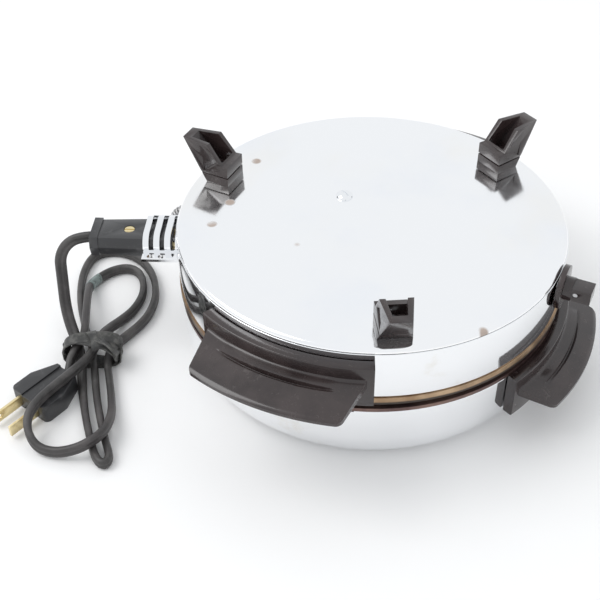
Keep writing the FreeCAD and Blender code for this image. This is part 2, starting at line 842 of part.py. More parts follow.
def rivet_pair(name, start, leaf_inner, height):
    """Two rivets through a shell and a leaf, with a head at each end."""
    rivets = []
    head = S.rivet_head_height
    head_start = leaf_inner + S.hinge_leaf_thickness + S.seat_gap
    for side in (-1, 1):
        x = S.rivet_offset * side
        shank = cylinder(f"{name}_shank_{side}", S.rivet_diameter / 2, head_start + head - start,
                         x, start, height, -90, (1, 0, 0))
        inner = cylinder(f"{name}_tail_{side}", S.rivet_head / 2, head, x, start - head, height, -90,
                         (1, 0, 0))
        outer = cylinder(f"{name}_head_{side}", S.rivet_head / 2, head, x, head_start, height, -90,
                         (1, 0, 0))
        rivets.append(fuse(f"{name}_{side}", [shank, inner, outer]))
    return group(name, rivets)


def make_hinge_pin():
    end = S.hinge_pin_end
    half = S.hinge_knuckle_span / 2 + S.seat_gap + end
    shank = cylinder("hinge_pin_shank", S.hinge_pin_diameter / 2, half * 2, -half, hinge_y, hinge_z, 90)
    ends = [cylinder(f"hinge_pin_end_{side}", S.hinge_pin_diameter / 2 + S.hinge_pin_end_extra, end,
                     (half - end / 2) * side - end / 2, hinge_y, hinge_z, 90) for side in (-1, 1)]
    return fuse("hinge_pin", [shank] + ends)


# Wires and cords: tubes swept along tangent arcs
def point(x, y, z):
    return FreeCAD.Vector(x, y, z)


def bent_arc(start, corner, end):
    """The arc that leaves start and reaches end tangent to the two equal legs of a corner."""
    middle = (start + end) * 0.5
    half = (end - start).Length / 2
    turn = (corner - start).getAngle(end - corner)
    if turn < 1e-5:
        return Part.LineSegment(start, end)
    crown = middle + (corner - middle).normalize() * (half * math.tan(turn / 4))
    return Part.Arc(start, crown, end)


def biarc(start, leave, end, arrive):
    """Two arcs from start to end that keep the directions at both ends."""
    chord = end - start
    total = leave + arrive
    spread = 2 * (1 - leave.dot(arrive))
    along = chord.dot(total)
    if spread < 1e-9:
        leg = chord.dot(chord) / (4 * chord.dot(arrive))
    else:
        leg = (-along + math.sqrt(along ** 2 + spread * chord.dot(chord))) / spread
    first, second = start + leave * leg, end - arrive * leg
    joint = (first + second) * 0.5
    return [bent_arc(start, first, joint), bent_arc(joint, second, end)]


def smooth_route(points, first=None, last=None):
    """Arcs through hand-picked points; each direction is that of the circle through three points."""
    directions = []
    for i, here in enumerate(points):
        if i in (0, len(points) - 1):
            given = first if i == 0 else last
            near = points[1] - points[0] if i == 0 else points[-1] - points[-2]
            directions.append((given or near).normalize())
            continue
        before, after = here - points[i - 1], points[i + 1] - here
        weight = before.Length / (before.Length + after.Length)
        tangent = before.normalize() * (1 - weight) + after.normalize() * weight
        directions.append(tangent.normalize())
    arcs = []
    for i in range(len(points) - 1):
        arcs += biarc(points[i], directions[i], points[i + 1], directions[i + 1])
    return arcs


def rounded_route(points, share=0.45):
    """Straight runs joined by tangent arcs; prints the arcs' radii."""
    pieces, radii = [], []
    here = points[0]
    for i in range(1, len(points) - 1):
        before, after = points[i] - points[i - 1], points[i + 1] - points[i]
        leg = share * min(before.Length, after.Length)
        start = points[i] - before.normalize() * leg
        end = points[i] + after.normalize() * leg
        radii.append(leg / math.tan(before.getAngle(after) / 2))
        pieces += [Part.LineSegment(here, start), bent_arc(start, points[i], end)]
        here = end
    pieces.append(Part.LineSegment(here, points[-1]))
    print("radii", [round(radius, 1) for radius in radii])
    return pieces


def tube(name, pieces, diameter):
    """A solid round tube along the pieces of a route, checked against section times length."""
    wire = Part.Wire([piece.toShape() for piece in pieces])
    start = pieces[0]
    ahead = start.tangent(start.FirstParameter)[0]
    ring = Part.Wire([Part.Circle(start.value(start.FirstParameter), ahead, diameter.value / 2).toShape()])
    shell = Part.BRepOffsetAPI.MakePipeShell(wire)
    shell.add(ring, False, False)
    shell.build()
    shell.makeSolid()
    solid = doc.addObject("Part::Feature", name)
    solid.Shape = shell.shape()
    expected = math.pi * (diameter.value / 2) ** 2 * wire.Length
    print(name, "length", round(wire.Length, 1), "volume ratio", round(solid.Shape.Volume / expected, 4))
    return solid


def least_gap(name, pieces, diameter, others=()):
    """Least distance between a tube's own strands, and from it to other tubes."""
    def sampled(route):
        return Part.Wire([piece.toShape() for piece in route]).discretize(Distance=1.0)
    own = sampled(pieces)
    skip = int(diameter.value * 3)
    least = min((a - b).Length for i, a in enumerate(own) for b in own[i + skip:])
    print(name, "least gap to itself", round(least - diameter.value, 2))
    for label, route, width in others:
        gap = min((a - b).Length for a in own for b in sampled(route))
        print(name, "least gap to", label, round(gap - (diameter.value + width.value) / 2, 2))


def conduit_route():
    """A helix laid round a half circle: points and directions by formula, four to a turn."""
    turns = round(math.pi * S.conduit_bend_radius.value / S.conduit_pitch.value)
    coil = (S.conduit_coil_diameter.value - S.conduit_wire_diameter.value) / 2
    bend = S.conduit_bend_radius.value
    centre_y = S.shell_radius.value + S.conduit_start_gap.value

    def at(part):
        around = math.pi * part / turns
        spin = 2 * math.pi * part
        reach = bend + coil * math.cos(spin)
        return point(S.conduit_offset.value + coil * math.sin(spin),
                     centre_y + reach * math.sin(around),
                     S.conduit_middle_height.value + reach * math.cos(around))

    step = 1e-4
    count = turns * 4
    places = [at(i / 4) for i in range(count + 1)]
    ways = [(at(i / 4 + step) - at(i / 4 - step)).normalize() for i in range(count + 1)]
    arcs = []
    for i in range(count):
        arcs += biarc(places[i], ways[i], places[i + 1], ways[i + 1])
    return arcs


# The cord, route points chosen by hand. It leaves the appliance plug, hangs down to the table,
# and is tied in a bow of four loops that ends in the wall plug.
LEAD_ROUTE = [
    (-57.2, 134.6, 62.4), (-60.9, 142.4, 61.9), (-64.8, 148.8, 57.6), (-68.3, 151.6, 50.4),
    (-69.5, 151.4, 41.9), (-71.2, 150.8, 32.0), (-73.8, 149.6, 21.4), (-77.3, 145.8, 12.6),
    (-81.6, 139.9, 6.9), (-86.9, 134.6, 5.0),
]
HANK_POINTS = [
    # down to the narrow lower loop
    (-86.9, 134.6, 5.0), (-91.6, 129.9, 4.9), (-100.6, 123.0, 4.4), (-110.6, 115.6, 3.2),
    (-124.8, 104.0, 3.2), (-138.0, 91.6, 3.2), (-147.6, 81.6, 3.2), (-148.6, 75.6, 3.2),
    (-142.8, 76.4, 3.2), (-137.4, 82.2, 3.2), (-124.6, 94.6, 3.2), (-110.8, 106.6, 3.4),
    (-100.2, 114.5, 4.5), (-87.9, 123.9, 4.9), (-79.2, 131.9, 4.4),
    # round the outer upper loop
    (-70.6, 141.4, 3.2), (-57.8, 153.6, 3.2), (-43.1, 164.6, 3.2), (-28.3, 172.5, 3.2),
    (-15.0, 175.9, 3.2), (-6.9, 172.6, 3.2), (-2.2, 163.7, 3.2), (-2.4, 152.6, 3.2),
    (-7.2, 140.7, 3.2), (-16.4, 129.7, 3.2), (-29.6, 120.6, 3.2), (-43.3, 116.0, 3.2),
    (-55.2, 115.8, 3.2), (-67.1, 118.0, 3.4), (-78.0, 118.9, 4.4),
    # round the wide lower loop, over the narrow one and the wall plug
    (-88.3, 114.9, 4.9), (-97.2, 107.7, 4.2), (-108.0, 99.0, 3.4), (-118.6, 91.4, 4.6),
    (-127.6, 86.6, 8.4), (-135.2, 84.6, 9.8), (-143.0, 86.4, 9.8), (-149.0, 91.9, 7.4),
    (-153.0, 101.8, 3.8), (-154.7, 111.5, 4.4), (-151.4, 119.0, 8.0), (-145.4, 123.6, 12.0),
    (-137.6, 124.0, 14.2), (-128.4, 123.4, 14.3), (-118.0, 121.6, 14.3), (-108.0, 120.2, 14.0),
    (-96.4, 120.4, 12.4), (-86.4, 122.8, 11.2),
    # round the inner upper loop
    (-76.6, 125.8, 10.2), (-66.4, 127.6, 6.4), (-56.4, 127.6, 3.6), (-45.6, 125.9, 3.2),
    (-32.8, 127.8, 3.2), (-21.9, 133.9, 3.2), (-14.4, 141.9, 3.2), (-13.6, 150.6, 3.2),
    (-20.3, 157.7, 3.2), (-30.2, 161.0, 3.3), (-40.6, 159.2, 6.0), (-50.0, 153.4, 9.6),
    (-61.0, 146.4, 10.4), (-72.0, 139.4, 10.9), (-82.0, 133.2, 11.2),
    # and into the wall plug
    (-91.2, 131.5, 11.2), (-98.4, 130.6, 9.6), (-103.4, 128.6, 7.0), (-107.6, 127.2, 5.6),
    (-111.9, 128.1, 5.5),
]


# Plug guard: a domed tunnel with a flange on each side, cut by three cooling slots
def make_guard():
    width, depth, corner = S.guard_width / 2, S.guard_depth / 2, S.guard_corner
    sheet_size, reach = S.guard_sheet, S.guard_reach
    body = new_body("guard_raw")
    for label, inset in (("outer", 0), ("inner", sheet_size)):
        w, d, r = width - inset, depth - inset, corner - inset
        sketch = new_sketch(body, f"guard_{label}", "YZ_Plane", reach - S.guard_blank)
        outline(sketch, [
            (-w, -d + r), (-w + r, -d), (w - r, -d), (w, -d + r), (w, d - r), (w - r, d), (-w + r, d),
            (-w, d - r),
        ], {0: (r, -1), 2: (r, -1), 4: (r, -1), 6: (r, -1)})
        if label == "outer":
            pad(body, sketch, "guard_pad", S.guard_blank)
        else:
            pocket = body.newObject("PartDesign::Pocket", "guard_tunnel")
            pocket.Profile = sketch
            pocket.Reversed = True
            bind(pocket, "Length", S.guard_blank)
            body.Tip = pocket
    pieces = [body]
    cutters = [primitive("Part::Cylinder", "guard_cope", Radius=S.shell_radius + S.seat_gap,
                         Height=S.guard_width * 2)]
    place(cutters[0], z=-S.guard_width)
    for side in (-1, 1):
        middle = (width + S.guard_flange_width / 2) * side
        pieces.append(box(f"guard_flange_{side}", S.guard_blank, S.guard_flange_width,
                          S.guard_flange_thickness, reach - S.guard_blank / 2, middle,
                          -S.guard_flange_thickness / 2))
    for i in range(int(S.guard_slot_count.value)):
        x = S.guard_slot_start + S.guard_slot_pitch * i + S.guard_slot_width / 2
        for side in (-1, 1):
            low = S.guard_slot_side if side > 0 else -S.guard_slot_side - S.guard_depth
            cutters.append(box(f"guard_slot_{i}_{side}", S.guard_slot_width, S.guard_slot_length,
                               S.guard_depth, x, S.guard_slot_shift, low))
        if i:
            for side in (-1, 1):
                cutters.append(cylinder(f"guard_notch_{i}_{side}", S.guard_notch_diameter / 2,
                                        S.guard_flange_thickness * 4, x,
                                        (width + S.guard_notch_offset) * side,
                                        -S.guard_flange_thickness * 2))
    shape = cut("guard_shape", fuse("guard_pieces", pieces), group("guard_cutters", cutters))
    return place(group("guard", [shape]), z=S.plug_height, turn=S.plug_angle)


def turned_to(name, thing, height, angle):
    return place(group(name, [thing]), z=height, turn=angle)


def make_terminals():
    block = box("terminal_block_solid", S.terminal_block_depth, S.terminal_block_width,
                S.terminal_block_height, S.terminal_block_radius, 0,
                base_flange_top + S.shell_wall - S.plug_height)
    holes, pins = [], []
    for side in (-1, 1):
        y = S.pin_spacing / 2 * side
        holes.append(radial_rod(f"terminal_hole_{side}", S.pin_diameter / 2 + S.hinge_running_clearance,
                                S.pin_start_radius, S.pin_outer_radius, y))
        rod = radial_rod(f"terminal_rod_{side}", S.pin_diameter / 2, S.pin_start_radius,
                         S.pin_outer_radius, y)
        tip = primitive("Part::Sphere", f"terminal_tip_{side}", Radius=S.pin_diameter / 2)
        pins.append(fuse(f"terminal_pin_{side}", [rod, place(tip, S.pin_outer_radius, y, 0)]))
    drilled = cut("terminal_block_drilled", block, group("terminal_holes", holes))
    return (turned_to("terminal_block", drilled, S.plug_height, S.plug_angle),
            turned_to("terminal_pins", group("terminal_pin_pair", pins), S.plug_height, S.plug_angle))


# Appliance plug: two Bakelite halves round the contacts, held by one screw
def make_plug_half(name, side):
    flat, middle, high = S.plug_flat_width / 2, S.plug_middle_width / 2, S.plug_thickness / 2 * side
    body = new_body(f"{name}_body")
    sections = []
    for label, radius, scale in (("tip", plug_tip, as_size(1)),
                                 ("end", S.plug_end_radius, S.plug_end_scale)):
        sketch = new_sketch(body, f"{name}_{label}", "YZ_Plane", radius)
        points = [(-middle * scale, 0), (middle * scale, 0), (flat * scale, high * scale),
                  (-flat * scale, high * scale)]
        sections.append(outline(sketch, points if side > 0 else points[::-1]))
    loft("PartDesign::AdditiveLoft", body, f"{name}_loft", sections)
    scale, extra = S.plug_end_scale, S.plug_collar_extra
    collar_start = S.plug_end_radius - S.plug_collar_length
    sketch = new_sketch(body, f"{name}_collar_profile", "YZ_Plane", collar_start)
    points = [(-middle * scale - extra, 0), (middle * scale + extra, 0),
              (flat * scale + extra, high * scale + extra * side),
              (-flat * scale - extra, high * scale + extra * side)]
    outline(sketch, points if side > 0 else points[::-1])
    pad(body, sketch, f"{name}_collar", S.plug_collar_length)
    cutters = [
        radial_rod(f"{name}_cord_way", S.cord_diameter / 2 + S.seat_gap, S.plug_wiring_end,
                   S.plug_end_radius + S.cut_past),
        box(f"{name}_wiring", S.plug_wiring_length, S.plug_wiring_width, S.plug_wiring_height,
            S.plug_screw_radius, 0, -S.plug_wiring_height / 2),
    ]
    for edge in (-1, 1):
        cutters.append(radial_rod(f"{name}_contact_way_{edge}", S.pin_diameter / 2 + S.contact_wall
                                  + S.hinge_running_clearance, plug_tip - S.cut_past,
                                  contact_end + S.contact_back_gap, S.pin_spacing / 2 * edge))
    screw_way = cylinder(f"{name}_screw_way", S.plug_screw_diameter / 2 + S.seat_gap / 2,
                         S.plug_thickness, S.plug_screw_radius, 0, -S.plug_screw_depth)
    boss = cylinder(f"{name}_boss", S.plug_screw_diameter, S.plug_boss_height, S.plug_screw_radius,
                    0, 0 if side > 0 else -S.plug_boss_height)
    hollow = cut(f"{name}_hollow", body, group(f"{name}_cutters", cutters))
    solid = fuse(f"{name}_solid", [hollow, boss])
    last = [screw_way]
    if side > 0:
        last.append(cylinder(f"{name}_recess", S.plug_screw_head / 2 + S.seat_gap, S.plug_thickness,
                             S.plug_screw_radius, 0, S.plug_screw_seat))
    drilled = cut(f"{name}_drilled", solid, group(f"{name}_drill", last))
    return turned_to(name, drilled, S.plug_height, S.plug_angle)


def make_plug_metal():
    sleeves = []
    for side in (-1, 1):
        outer = radial_rod(f"contact_outer_{side}", S.pin_diameter / 2 + S.contact_wall,
                           plug_tip + S.contact_recess, contact_end, S.pin_spacing / 2 * side)
        inner = radial_rod(f"contact_inner_{side}", S.pin_diameter / 2 + S.hinge_running_clearance,
                           plug_tip - S.cut_past, pin_end + S.contact_end_gap,
                           S.pin_spacing / 2 * side)
        sleeves.append(cut(f"contact_{side}", outer, inner))
    head = cylinder("plug_screw_disc", S.plug_screw_head / 2, S.plug_screw_head_height,
                    S.plug_screw_radius, 0, S.plug_screw_seat)
    shank = cylinder("plug_screw_shank", S.plug_screw_diameter / 2, S.plug_screw_seat + S.plug_screw_end,
                     S.plug_screw_radius, 0, -S.plug_screw_end)
    slot = box("plug_screw_slot_cut", S.plug_screw_head * 2, S.plug_screw_slot, S.plug_screw_head_height,
               S.plug_screw_radius, 0,
               S.plug_screw_seat + S.plug_screw_head_height - S.plug_screw_slot_depth)
    screw = cut("plug_screw_solid", fuse("plug_screw_blank", [head, shank]), slot)
    return (turned_to("plug_contacts", group("contact_pair", sleeves), S.plug_height, S.plug_angle),
            turned_to("plug_screw", screw, S.plug_height, S.plug_angle))


# Heat control: a knob with a square grip on the thermostat's shaft
def make_control():
    start = S.shell_radius + S.knob_gap
    skirt_end = start + S.knob_skirt_thickness
    hub_end = skirt_end + S.knob_hub_length
    skirt = radial_rod("knob_skirt", S.knob_skirt_diameter / 2, start, skirt_end)
    hub = radial_rod("knob_hub", S.knob_hub_diameter / 2, start, hub_end)
    bar = box("knob_bar", S.knob_reach - hub_end + S.join_lap, S.knob_bar_width, S.knob_bar_height,
              (S.knob_reach + hub_end - S.join_lap) / 2, 0, -S.knob_bar_height / 2)
    bore = radial_rod("knob_bore", S.shaft_diameter / 2 + S.hinge_running_clearance, start - S.cut_past,
                      S.knob_shaft_end)
    screw_way = cylinder("knob_screw_way", S.set_screw_diameter / 2 + S.hinge_running_clearance,
                         S.knob_bar_width, S.knob_set_radius, 0, 0, 90, (1, 0, 0))
    knob = cut("knob_solid", fuse("knob_blank", [skirt, hub, bar]), group("knob_ways", [bore, screw_way]))
    set_screw = cylinder("set_screw_solid", S.set_screw_diameter / 2, S.knob_bar_width / 2
                         - S.shaft_diameter / 2 - S.seat_gap * 2, S.knob_set_radius,
                         -(S.shaft_diameter / 2 + S.seat_gap), 0, 90, (1, 0, 0))
    shaft = radial_rod("shaft_solid", S.shaft_diameter / 2, S.shaft_inner_radius, S.knob_shaft_end
                       - S.seat_gap)
    low = base_flange_top + S.shell_wall - S.control_height
    case = box("thermostat_case", S.thermostat_depth, S.thermostat_width, S.thermostat_height,
               S.thermostat_radius, 0, low)
    case_bore = radial_rod("thermostat_bore", S.shaft_diameter / 2 + S.hinge_running_clearance,
                           S.shaft_inner_radius - S.seat_gap, S.shell_radius)
    inner = S.thermostat_radius - S.thermostat_depth / 2
    blades = [box(f"thermostat_blade_{i}", S.blade_length, S.blade_width, S.blade_sheet,
                  inner - S.blade_length / 2, 0, S.blade_rise + S.blade_step * i) for i in (0, 1)]
    things = {"control_knob": knob, "knob_set_screw": set_screw, "control_shaft": shaft,
              "thermostat_body": cut("thermostat_drilled", case, case_bore),
              "thermostat_blades": group("thermostat_blade_pair", blades)}
    return {name: turned_to(name, thing, S.control_height, S.control_angle)
            for name, thing in things.items()}


# Wall plug: two lobes with a sunk middle, narrowed towards the cord
def make_wall_plug():
    half, width, back = S.wall_plug_length / 2, S.wall_plug_width / 2, S.wall_plug_back / 2
    corner = S.wall_plug_corner
    body = new_body("wall_plug_body")
    sketch = outline(new_sketch(body, "wall_plug_profile", "XY_Plane"), [
        (-half, -back), (0, -width), (half - corner, -width), (half, -width + corner),
        (half, width - corner), (half - corner, width), (0, width), (-half, back),
    ], {2: (corner, -1), 4: (corner, -1)})
    pad(body, sketch, "wall_plug_pad", S.wall_plug_thickness)
    depth = (S.wall_plug_thickness - S.wall_plug_waist) / 2
    cutters = [box(f"wall_plug_valley_{i}", S.wall_plug_length * 2, S.wall_plug_valley, depth * 2, 0, 0,
                   (S.wall_plug_thickness - depth) if i else -depth) for i in (0, 1)]
    cutters.append(cylinder("wall_plug_cord_way", S.cord_diameter / 2 + S.wall_plug_cord_gap,
                            S.wall_plug_cord_depth + S.cut_past, -half - S.cut_past, 0,
                            S.wall_plug_thickness / 2, 90))
    blades = []
    for side in (-1, 1):
        middle = half - S.prong_root / 2 + S.prong_length / 2
        blade = box(f"prong_{side}", S.prong_length + S.prong_root, S.blade_thickness, S.blade_height,
                    middle, S.blade_spacing / 2 * side, (S.wall_plug_thickness - S.blade_height) / 2)
        cutters.append(box(f"prong_way_{side}", S.prong_root * 2, S.blade_thickness, S.blade_height, half,
                           S.blade_spacing / 2 * side, (S.wall_plug_thickness - S.blade_height) / 2))
        if side < 0:
            eye = cylinder("prong_eye", S.prong_eye / 2, S.blade_thickness * 4,
                           half + S.prong_eye_place, S.blade_spacing / 2 * side + S.blade_thickness * 2,
                           S.wall_plug_thickness / 2, 90, (1, 0, 0))
            blade = cut("prong_with_eye", blade, eye)
        blades.append(blade)
    plug = cut("wall_plug_solid", body, group("wall_plug_cutters", cutters))
    placed = []
    for name, thing in (("wall_plug", plug), ("wall_plug_blades", group("prong_pair", blades))):
        placed.append(place(group(name, [thing]), S.wall_plug_x, S.wall_plug_y, 0, S.wall_plug_turn))
    return placed


def make_tie():
    """A strip wound once round the bundle, with a knot on top and a short tail."""
    length, high, sheet = S.tie_length / 2, S.tie_height / 2, S.tie_sheet
    body = new_body("tie_ring")
    for label, inset in (("outer", 0), ("inner", sheet)):
        w, d, r = length - inset, high - inset, S.tie_corner - inset
        sketch = new_sketch(body, f"tie_{label}", "YZ_Plane", -S.tie_width / 2)
        outline(sketch, [
            (-w, -d + r), (-w + r, -d), (w - r, -d), (w, -d + r), (w, d - r), (w - r, d), (-w + r, d),
            (-w, d - r),
        ], {0: (r, -1), 2: (r, -1), 4: (r, -1), 6: (r, -1)})
        if label == "outer":
            pad(body, sketch, "tie_pad", S.tie_width)
        else:
            pocket = body.newObject("PartDesign::Pocket", "tie_way")
            pocket.Profile = sketch
            pocket.Reversed = True
            bind(pocket, "Length", S.tie_width)
            body.Tip = pocket
    knot = primitive("Part::Ellipsoid", "tie_knot", Radius1=S.tie_knot_rise, Radius2=S.tie_knot / 2,
                     Radius3=S.tie_knot / 2, Angle1=0, Angle2=90)
    place(knot, 0, S.tie_knot_shift, high - sheet / 2)
    tail = box("tie_tail", S.tie_tail_width, S.tie_tail, sheet, S.tie_tail_shift,
               -length + S.tie_corner - S.tie_tail / 2, high - sheet)
    strip = fuse("tie_strip", [body, knot, tail])
    return place(group("cord_tie", [strip]), S.tie_x, S.tie_y, high + S.tie_lift, S.tie_turn)


# Assembly
lid_shell_raw = make_lid_shell()
base_wall_raw = make_base_wall()
bottom_plate_raw = make_bottom_plate()
side_plate_top = base_wall_top - S.side_plate_drop
handles = {
    "side_handle_left": (S.shell_radius, S.side_handle_reach, side_plate_top, S.left_handle_angle),
    "side_handle_right": (S.shell_radius, S.side_handle_reach, side_plate_top, S.right_handle_angle),
    "lid_handle": (S.lid_radius, S.lid_handle_reach, S.lid_handle_plate_top, S.lid_handle_angle),
}
for name, (radius, reach, top, angle) in handles.items():
    node(place(make_handle(name, radius, reach), z=top, turn=angle), name)
    node(place(make_handle_screws(f"{name}_screws", radius), z=top, turn=angle), f"{name}_screws")

wall_cutters, plate_cutters = [], []
for name in ("side_handle_left", "side_handle_right"):
    radius, reach, top, angle = handles[name]
    wall_cutters += wall_holes(f"{name}_hole_in_wall", radius, top, angle)
for side in (-1, 1):
    way = radial_rod(f"pin_way_{side}", S.pin_diameter / 2 + S.pin_way_gap, S.wall_way_start,
                     S.pin_outer_radius, S.pin_spacing / 2 * side)
    wall_cutters.append(turned_to(f"pin_way_placed_{side}", way, S.plug_height, S.plug_angle))
    for label, height in (("base", S.hinge_base_leaf_low), ("lid", S.hinge_lid_leaf_low)):
        hole = cylinder(f"{label}_rivet_way_{side}", S.rivet_diameter / 2 + S.seat_gap / 2,
                        S.lid_rim_lip * 2, S.rivet_offset * side, S.shell_radius - S.lid_rim_lip,
                        height + S.hinge_leaf_height / 2, -90, (1, 0, 0))
        (wall_cutters if label == "base" else plate_cutters).append(hole)
shaft_way = radial_rod("shaft_way", S.shaft_diameter / 2 + S.seat_gap, S.wall_way_start,
                       S.pin_outer_radius)
wall_cutters.append(turned_to("shaft_way_placed", shaft_way, S.control_height, S.control_angle))
conduit_bore = S.conduit_coil_diameter / 2 + S.seat_gap
for label, rise, bucket in (("base", 1, wall_cutters), ("lid", -1, plate_cutters)):
    bucket.append(cylinder(f"{label}_conduit_way", conduit_bore, S.lid_rim_lip * 2, S.conduit_offset,
                           S.shell_radius - S.lid_rim_lip,
                           S.conduit_middle_height + S.conduit_bend_radius * rise, -90, (1, 0, 0)))
plate_cutters += wall_holes("lid_handle_hole_in_shell", S.lid_radius, S.lid_handle_plate_top,
                            S.lid_handle_angle)
node(cut("base_wall", base_wall_raw, group("base_wall_cutters", wall_cutters)), "base_wall")
node(cut("lid_shell", lid_shell_raw, group("lid_shell_cutters", plate_cutters)), "lid_shell")

plate_holes, boss_angle = [], S.plate_screw_angle
foot_step = 360 / S.foot_count
foot_screws = []
for i, name in enumerate(("foot_rear", "foot_left", "foot_right")):
    angle = S.foot_first_angle + foot_step * i
    foot = cut(f"{name}_shape", make_foot(f"{name}_body"), foot_cutters(name))
    node(place(group(name, [foot]), z=plate_top, turn=angle), name)
    foot_screw = make_foot_screw(f"{name}_screw_solid")
    foot_screws.append(turned_to(f"{name}_screw", foot_screw, plate_top, angle))
    hole = cylinder(f"{name}_plate_hole", S.foot_screw_diameter / 2 + S.seat_gap / 2, S.plate_skirt,
                    foot_screw_radius, 0, -S.plate_skirt / 2)
    plate_holes.append(turned_to(f"{name}_plate_hole_placed", hole, plate_top, angle))
node(group("foot_screws", foot_screws), "foot_screws")
screw_hole = cylinder("plate_screw_hole", S.plate_screw_diameter / 2 + S.seat_gap / 2, S.plate_skirt,
                      S.plate_screw_radius, 0, -S.plate_skirt / 2)
plate_holes.append(turned_to("plate_screw_hole_placed", screw_hole, plate_top, boss_angle))
node(cut("bottom_plate", bottom_plate_raw, group("bottom_plate_holes", plate_holes)), "bottom_plate")

boss_height = plate_top - S.plate_sheet - base_grid_back
boss_post = cylinder("plate_boss_post", S.plate_boss_diameter / 2, boss_height + S.join_lap,
                     S.plate_screw_radius, 0, base_grid_back - S.join_lap)
boss_bore = cylinder("plate_boss_bore", S.plate_screw_diameter / 2 + S.seat_gap / 2,
                     S.plate_screw_depth + S.cut_past, S.plate_screw_radius, 0,
                     plate_top - S.plate_sheet - S.plate_screw_depth)
post = turned_to("plate_boss", cut("plate_boss_drilled", boss_post, boss_bore), 0, boss_angle)
base_grid_pan = place(make_grid("base_grid_pan", S.base_flange_radius, S.base_flange_thickness),
                      z=base_flange_bottom)
node(fuse("base_grid", [base_grid_pan, post]), "base_grid")
node(place(make_grid("lid_grid", S.lid_flange_radius, S.lid_flange_thickness), z=lid_flange_top,
           turn=180, axis=(1, 0, 0)), "lid_grid")
dome = primitive("Part::Ellipsoid", "plate_screw_dome", Radius1=S.plate_screw_head_height,
                 Radius2=S.plate_screw_head / 2, Radius3=S.plate_screw_head / 2, Angle1=0, Angle2=90)
place(dome, S.plate_screw_radius, 0, plate_top)
screw_shank = cylinder("plate_screw_shank", S.plate_screw_diameter / 2, S.plate_screw_depth,
                       S.plate_screw_radius, 0, plate_top - S.plate_screw_depth)
screw_slot = box("plate_screw_slot_cut", S.plate_screw_head * 2, S.plate_screw_slot,
                 S.plate_screw_head_height, S.plate_screw_radius, 0,
                 plate_top + S.plate_screw_head_height - S.plate_screw_slot_depth)
plate_screw = cut("plate_screw_solid", fuse("plate_screw_blank", [dome, screw_shank]), screw_slot)
node(place(group("plate_screw", [plate_screw]), turn=boss_angle), "plate_screw")

baffle_hole = cylinder("base_baffle_hole", S.plate_boss_diameter / 2 + S.seat_gap,
                       S.baffle_sheet + S.cut_past * 2, S.plate_screw_radius, 0, -S.cut_past)
base_baffle = cut("base_baffle_drilled", make_baffle("base_baffle_disc"),
                  group("base_baffle_hole_turned", [baffle_hole], boss_angle))
stack = S.insulator_height
for side, grid_back, up in (("base", base_grid_back, 1), ("lid", lid_grid_back, -1)):
    low = grid_back if up > 0 else grid_back - stack
    node(place(make_element(f"{side}_element"), z=low), f"{side}_element")
    node(place(make_insulators(f"{side}_insulators", S.insulator_first), z=low), f"{side}_insulators")
    disc = base_baffle if up > 0 else make_baffle("lid_baffle_disc")
    height = grid_back + stack if up > 0 else grid_back - stack - S.baffle_sheet
    node(place(group(f"{side}_baffle", [disc]), z=height), f"{side}_baffle")

wall_leaf = S.shell_radius + S.leaf_gap
lid_leaf = S.lid_radius + S.leaf_gap
knuckle = S.hinge_base_knuckle
side_knuckle = (knuckle + S.hinge_lid_knuckle) / 2 + S.hinge_knuckle_gap
node(make_hinge_bracket("base_hinge_bracket", [(0, knuckle)], S.hinge_base_leaf_low, wall_leaf, True),
     "base_hinge_bracket")
node(make_hinge_bracket("lid_hinge_bracket", [(-side_knuckle, S.hinge_lid_knuckle),
                                              (side_knuckle, S.hinge_lid_knuckle)],
                        S.hinge_lid_leaf_low, lid_leaf, False), "lid_hinge_bracket")
node(make_hinge_pin(), "hinge_pin")
rivet_start = S.shell_radius - S.shell_wall - S.rivet_inset
node(rivet_pair("base_hinge_rivets", rivet_start, wall_leaf, S.hinge_base_leaf_low
                + S.hinge_leaf_height / 2), "base_hinge_rivets")
node(rivet_pair("lid_hinge_rivets", rivet_start - S.shell_radius + S.lid_radius, lid_leaf,
                S.hinge_lid_leaf_low + S.hinge_leaf_height / 2), "lid_hinge_rivets")

node(make_guard(), "plug_guard")
terminal_block, terminal_pins = make_terminals()
node(terminal_block, "terminal_block")
node(terminal_pins, "terminal_pins")
node(make_plug_half("plug_upper_half", 1), "plug_upper_half")
node(make_plug_half("plug_lower_half", -1), "plug_lower_half")
plug_contacts, plug_screw = make_plug_metal()
node(plug_contacts, "plug_contacts")
node(plug_screw, "plug_screw")
for name, thing in make_control().items():
    node(thing, name)
wall_plug, prongs = make_wall_plug()
node(wall_plug, "wall_plug")
node(prongs, "wall_plug_blades")
node(make_tie(), "cord_tie")

lead_route = rounded_route([point(*place_) for place_ in LEAD_ROUTE])
hank_route = smooth_route([point(*place_) for place_ in HANK_POINTS],
                          first=point(*LEAD_ROUTE[-1]) - point(*LEAD_ROUTE[-2]))
conduit_pieces = conduit_route()
node(tube("cord_lead", lead_route, S.cord_diameter), "cord_lead")
node(tube("cord_hank", hank_route, S.cord_diameter), "cord_hank")
node(tube("lid_lead_conduit", conduit_pieces, S.conduit_wire_diameter), "lid_lead_conduit")
least_gap("cord_hank", hank_route, S.cord_diameter)
least_gap("cord_lead", lead_route[:-2], S.cord_diameter, [("hank", hank_route[4:], S.cord_diameter)])
least_gap("lid_lead_conduit", conduit_pieces, S.conduit_wire_diameter)

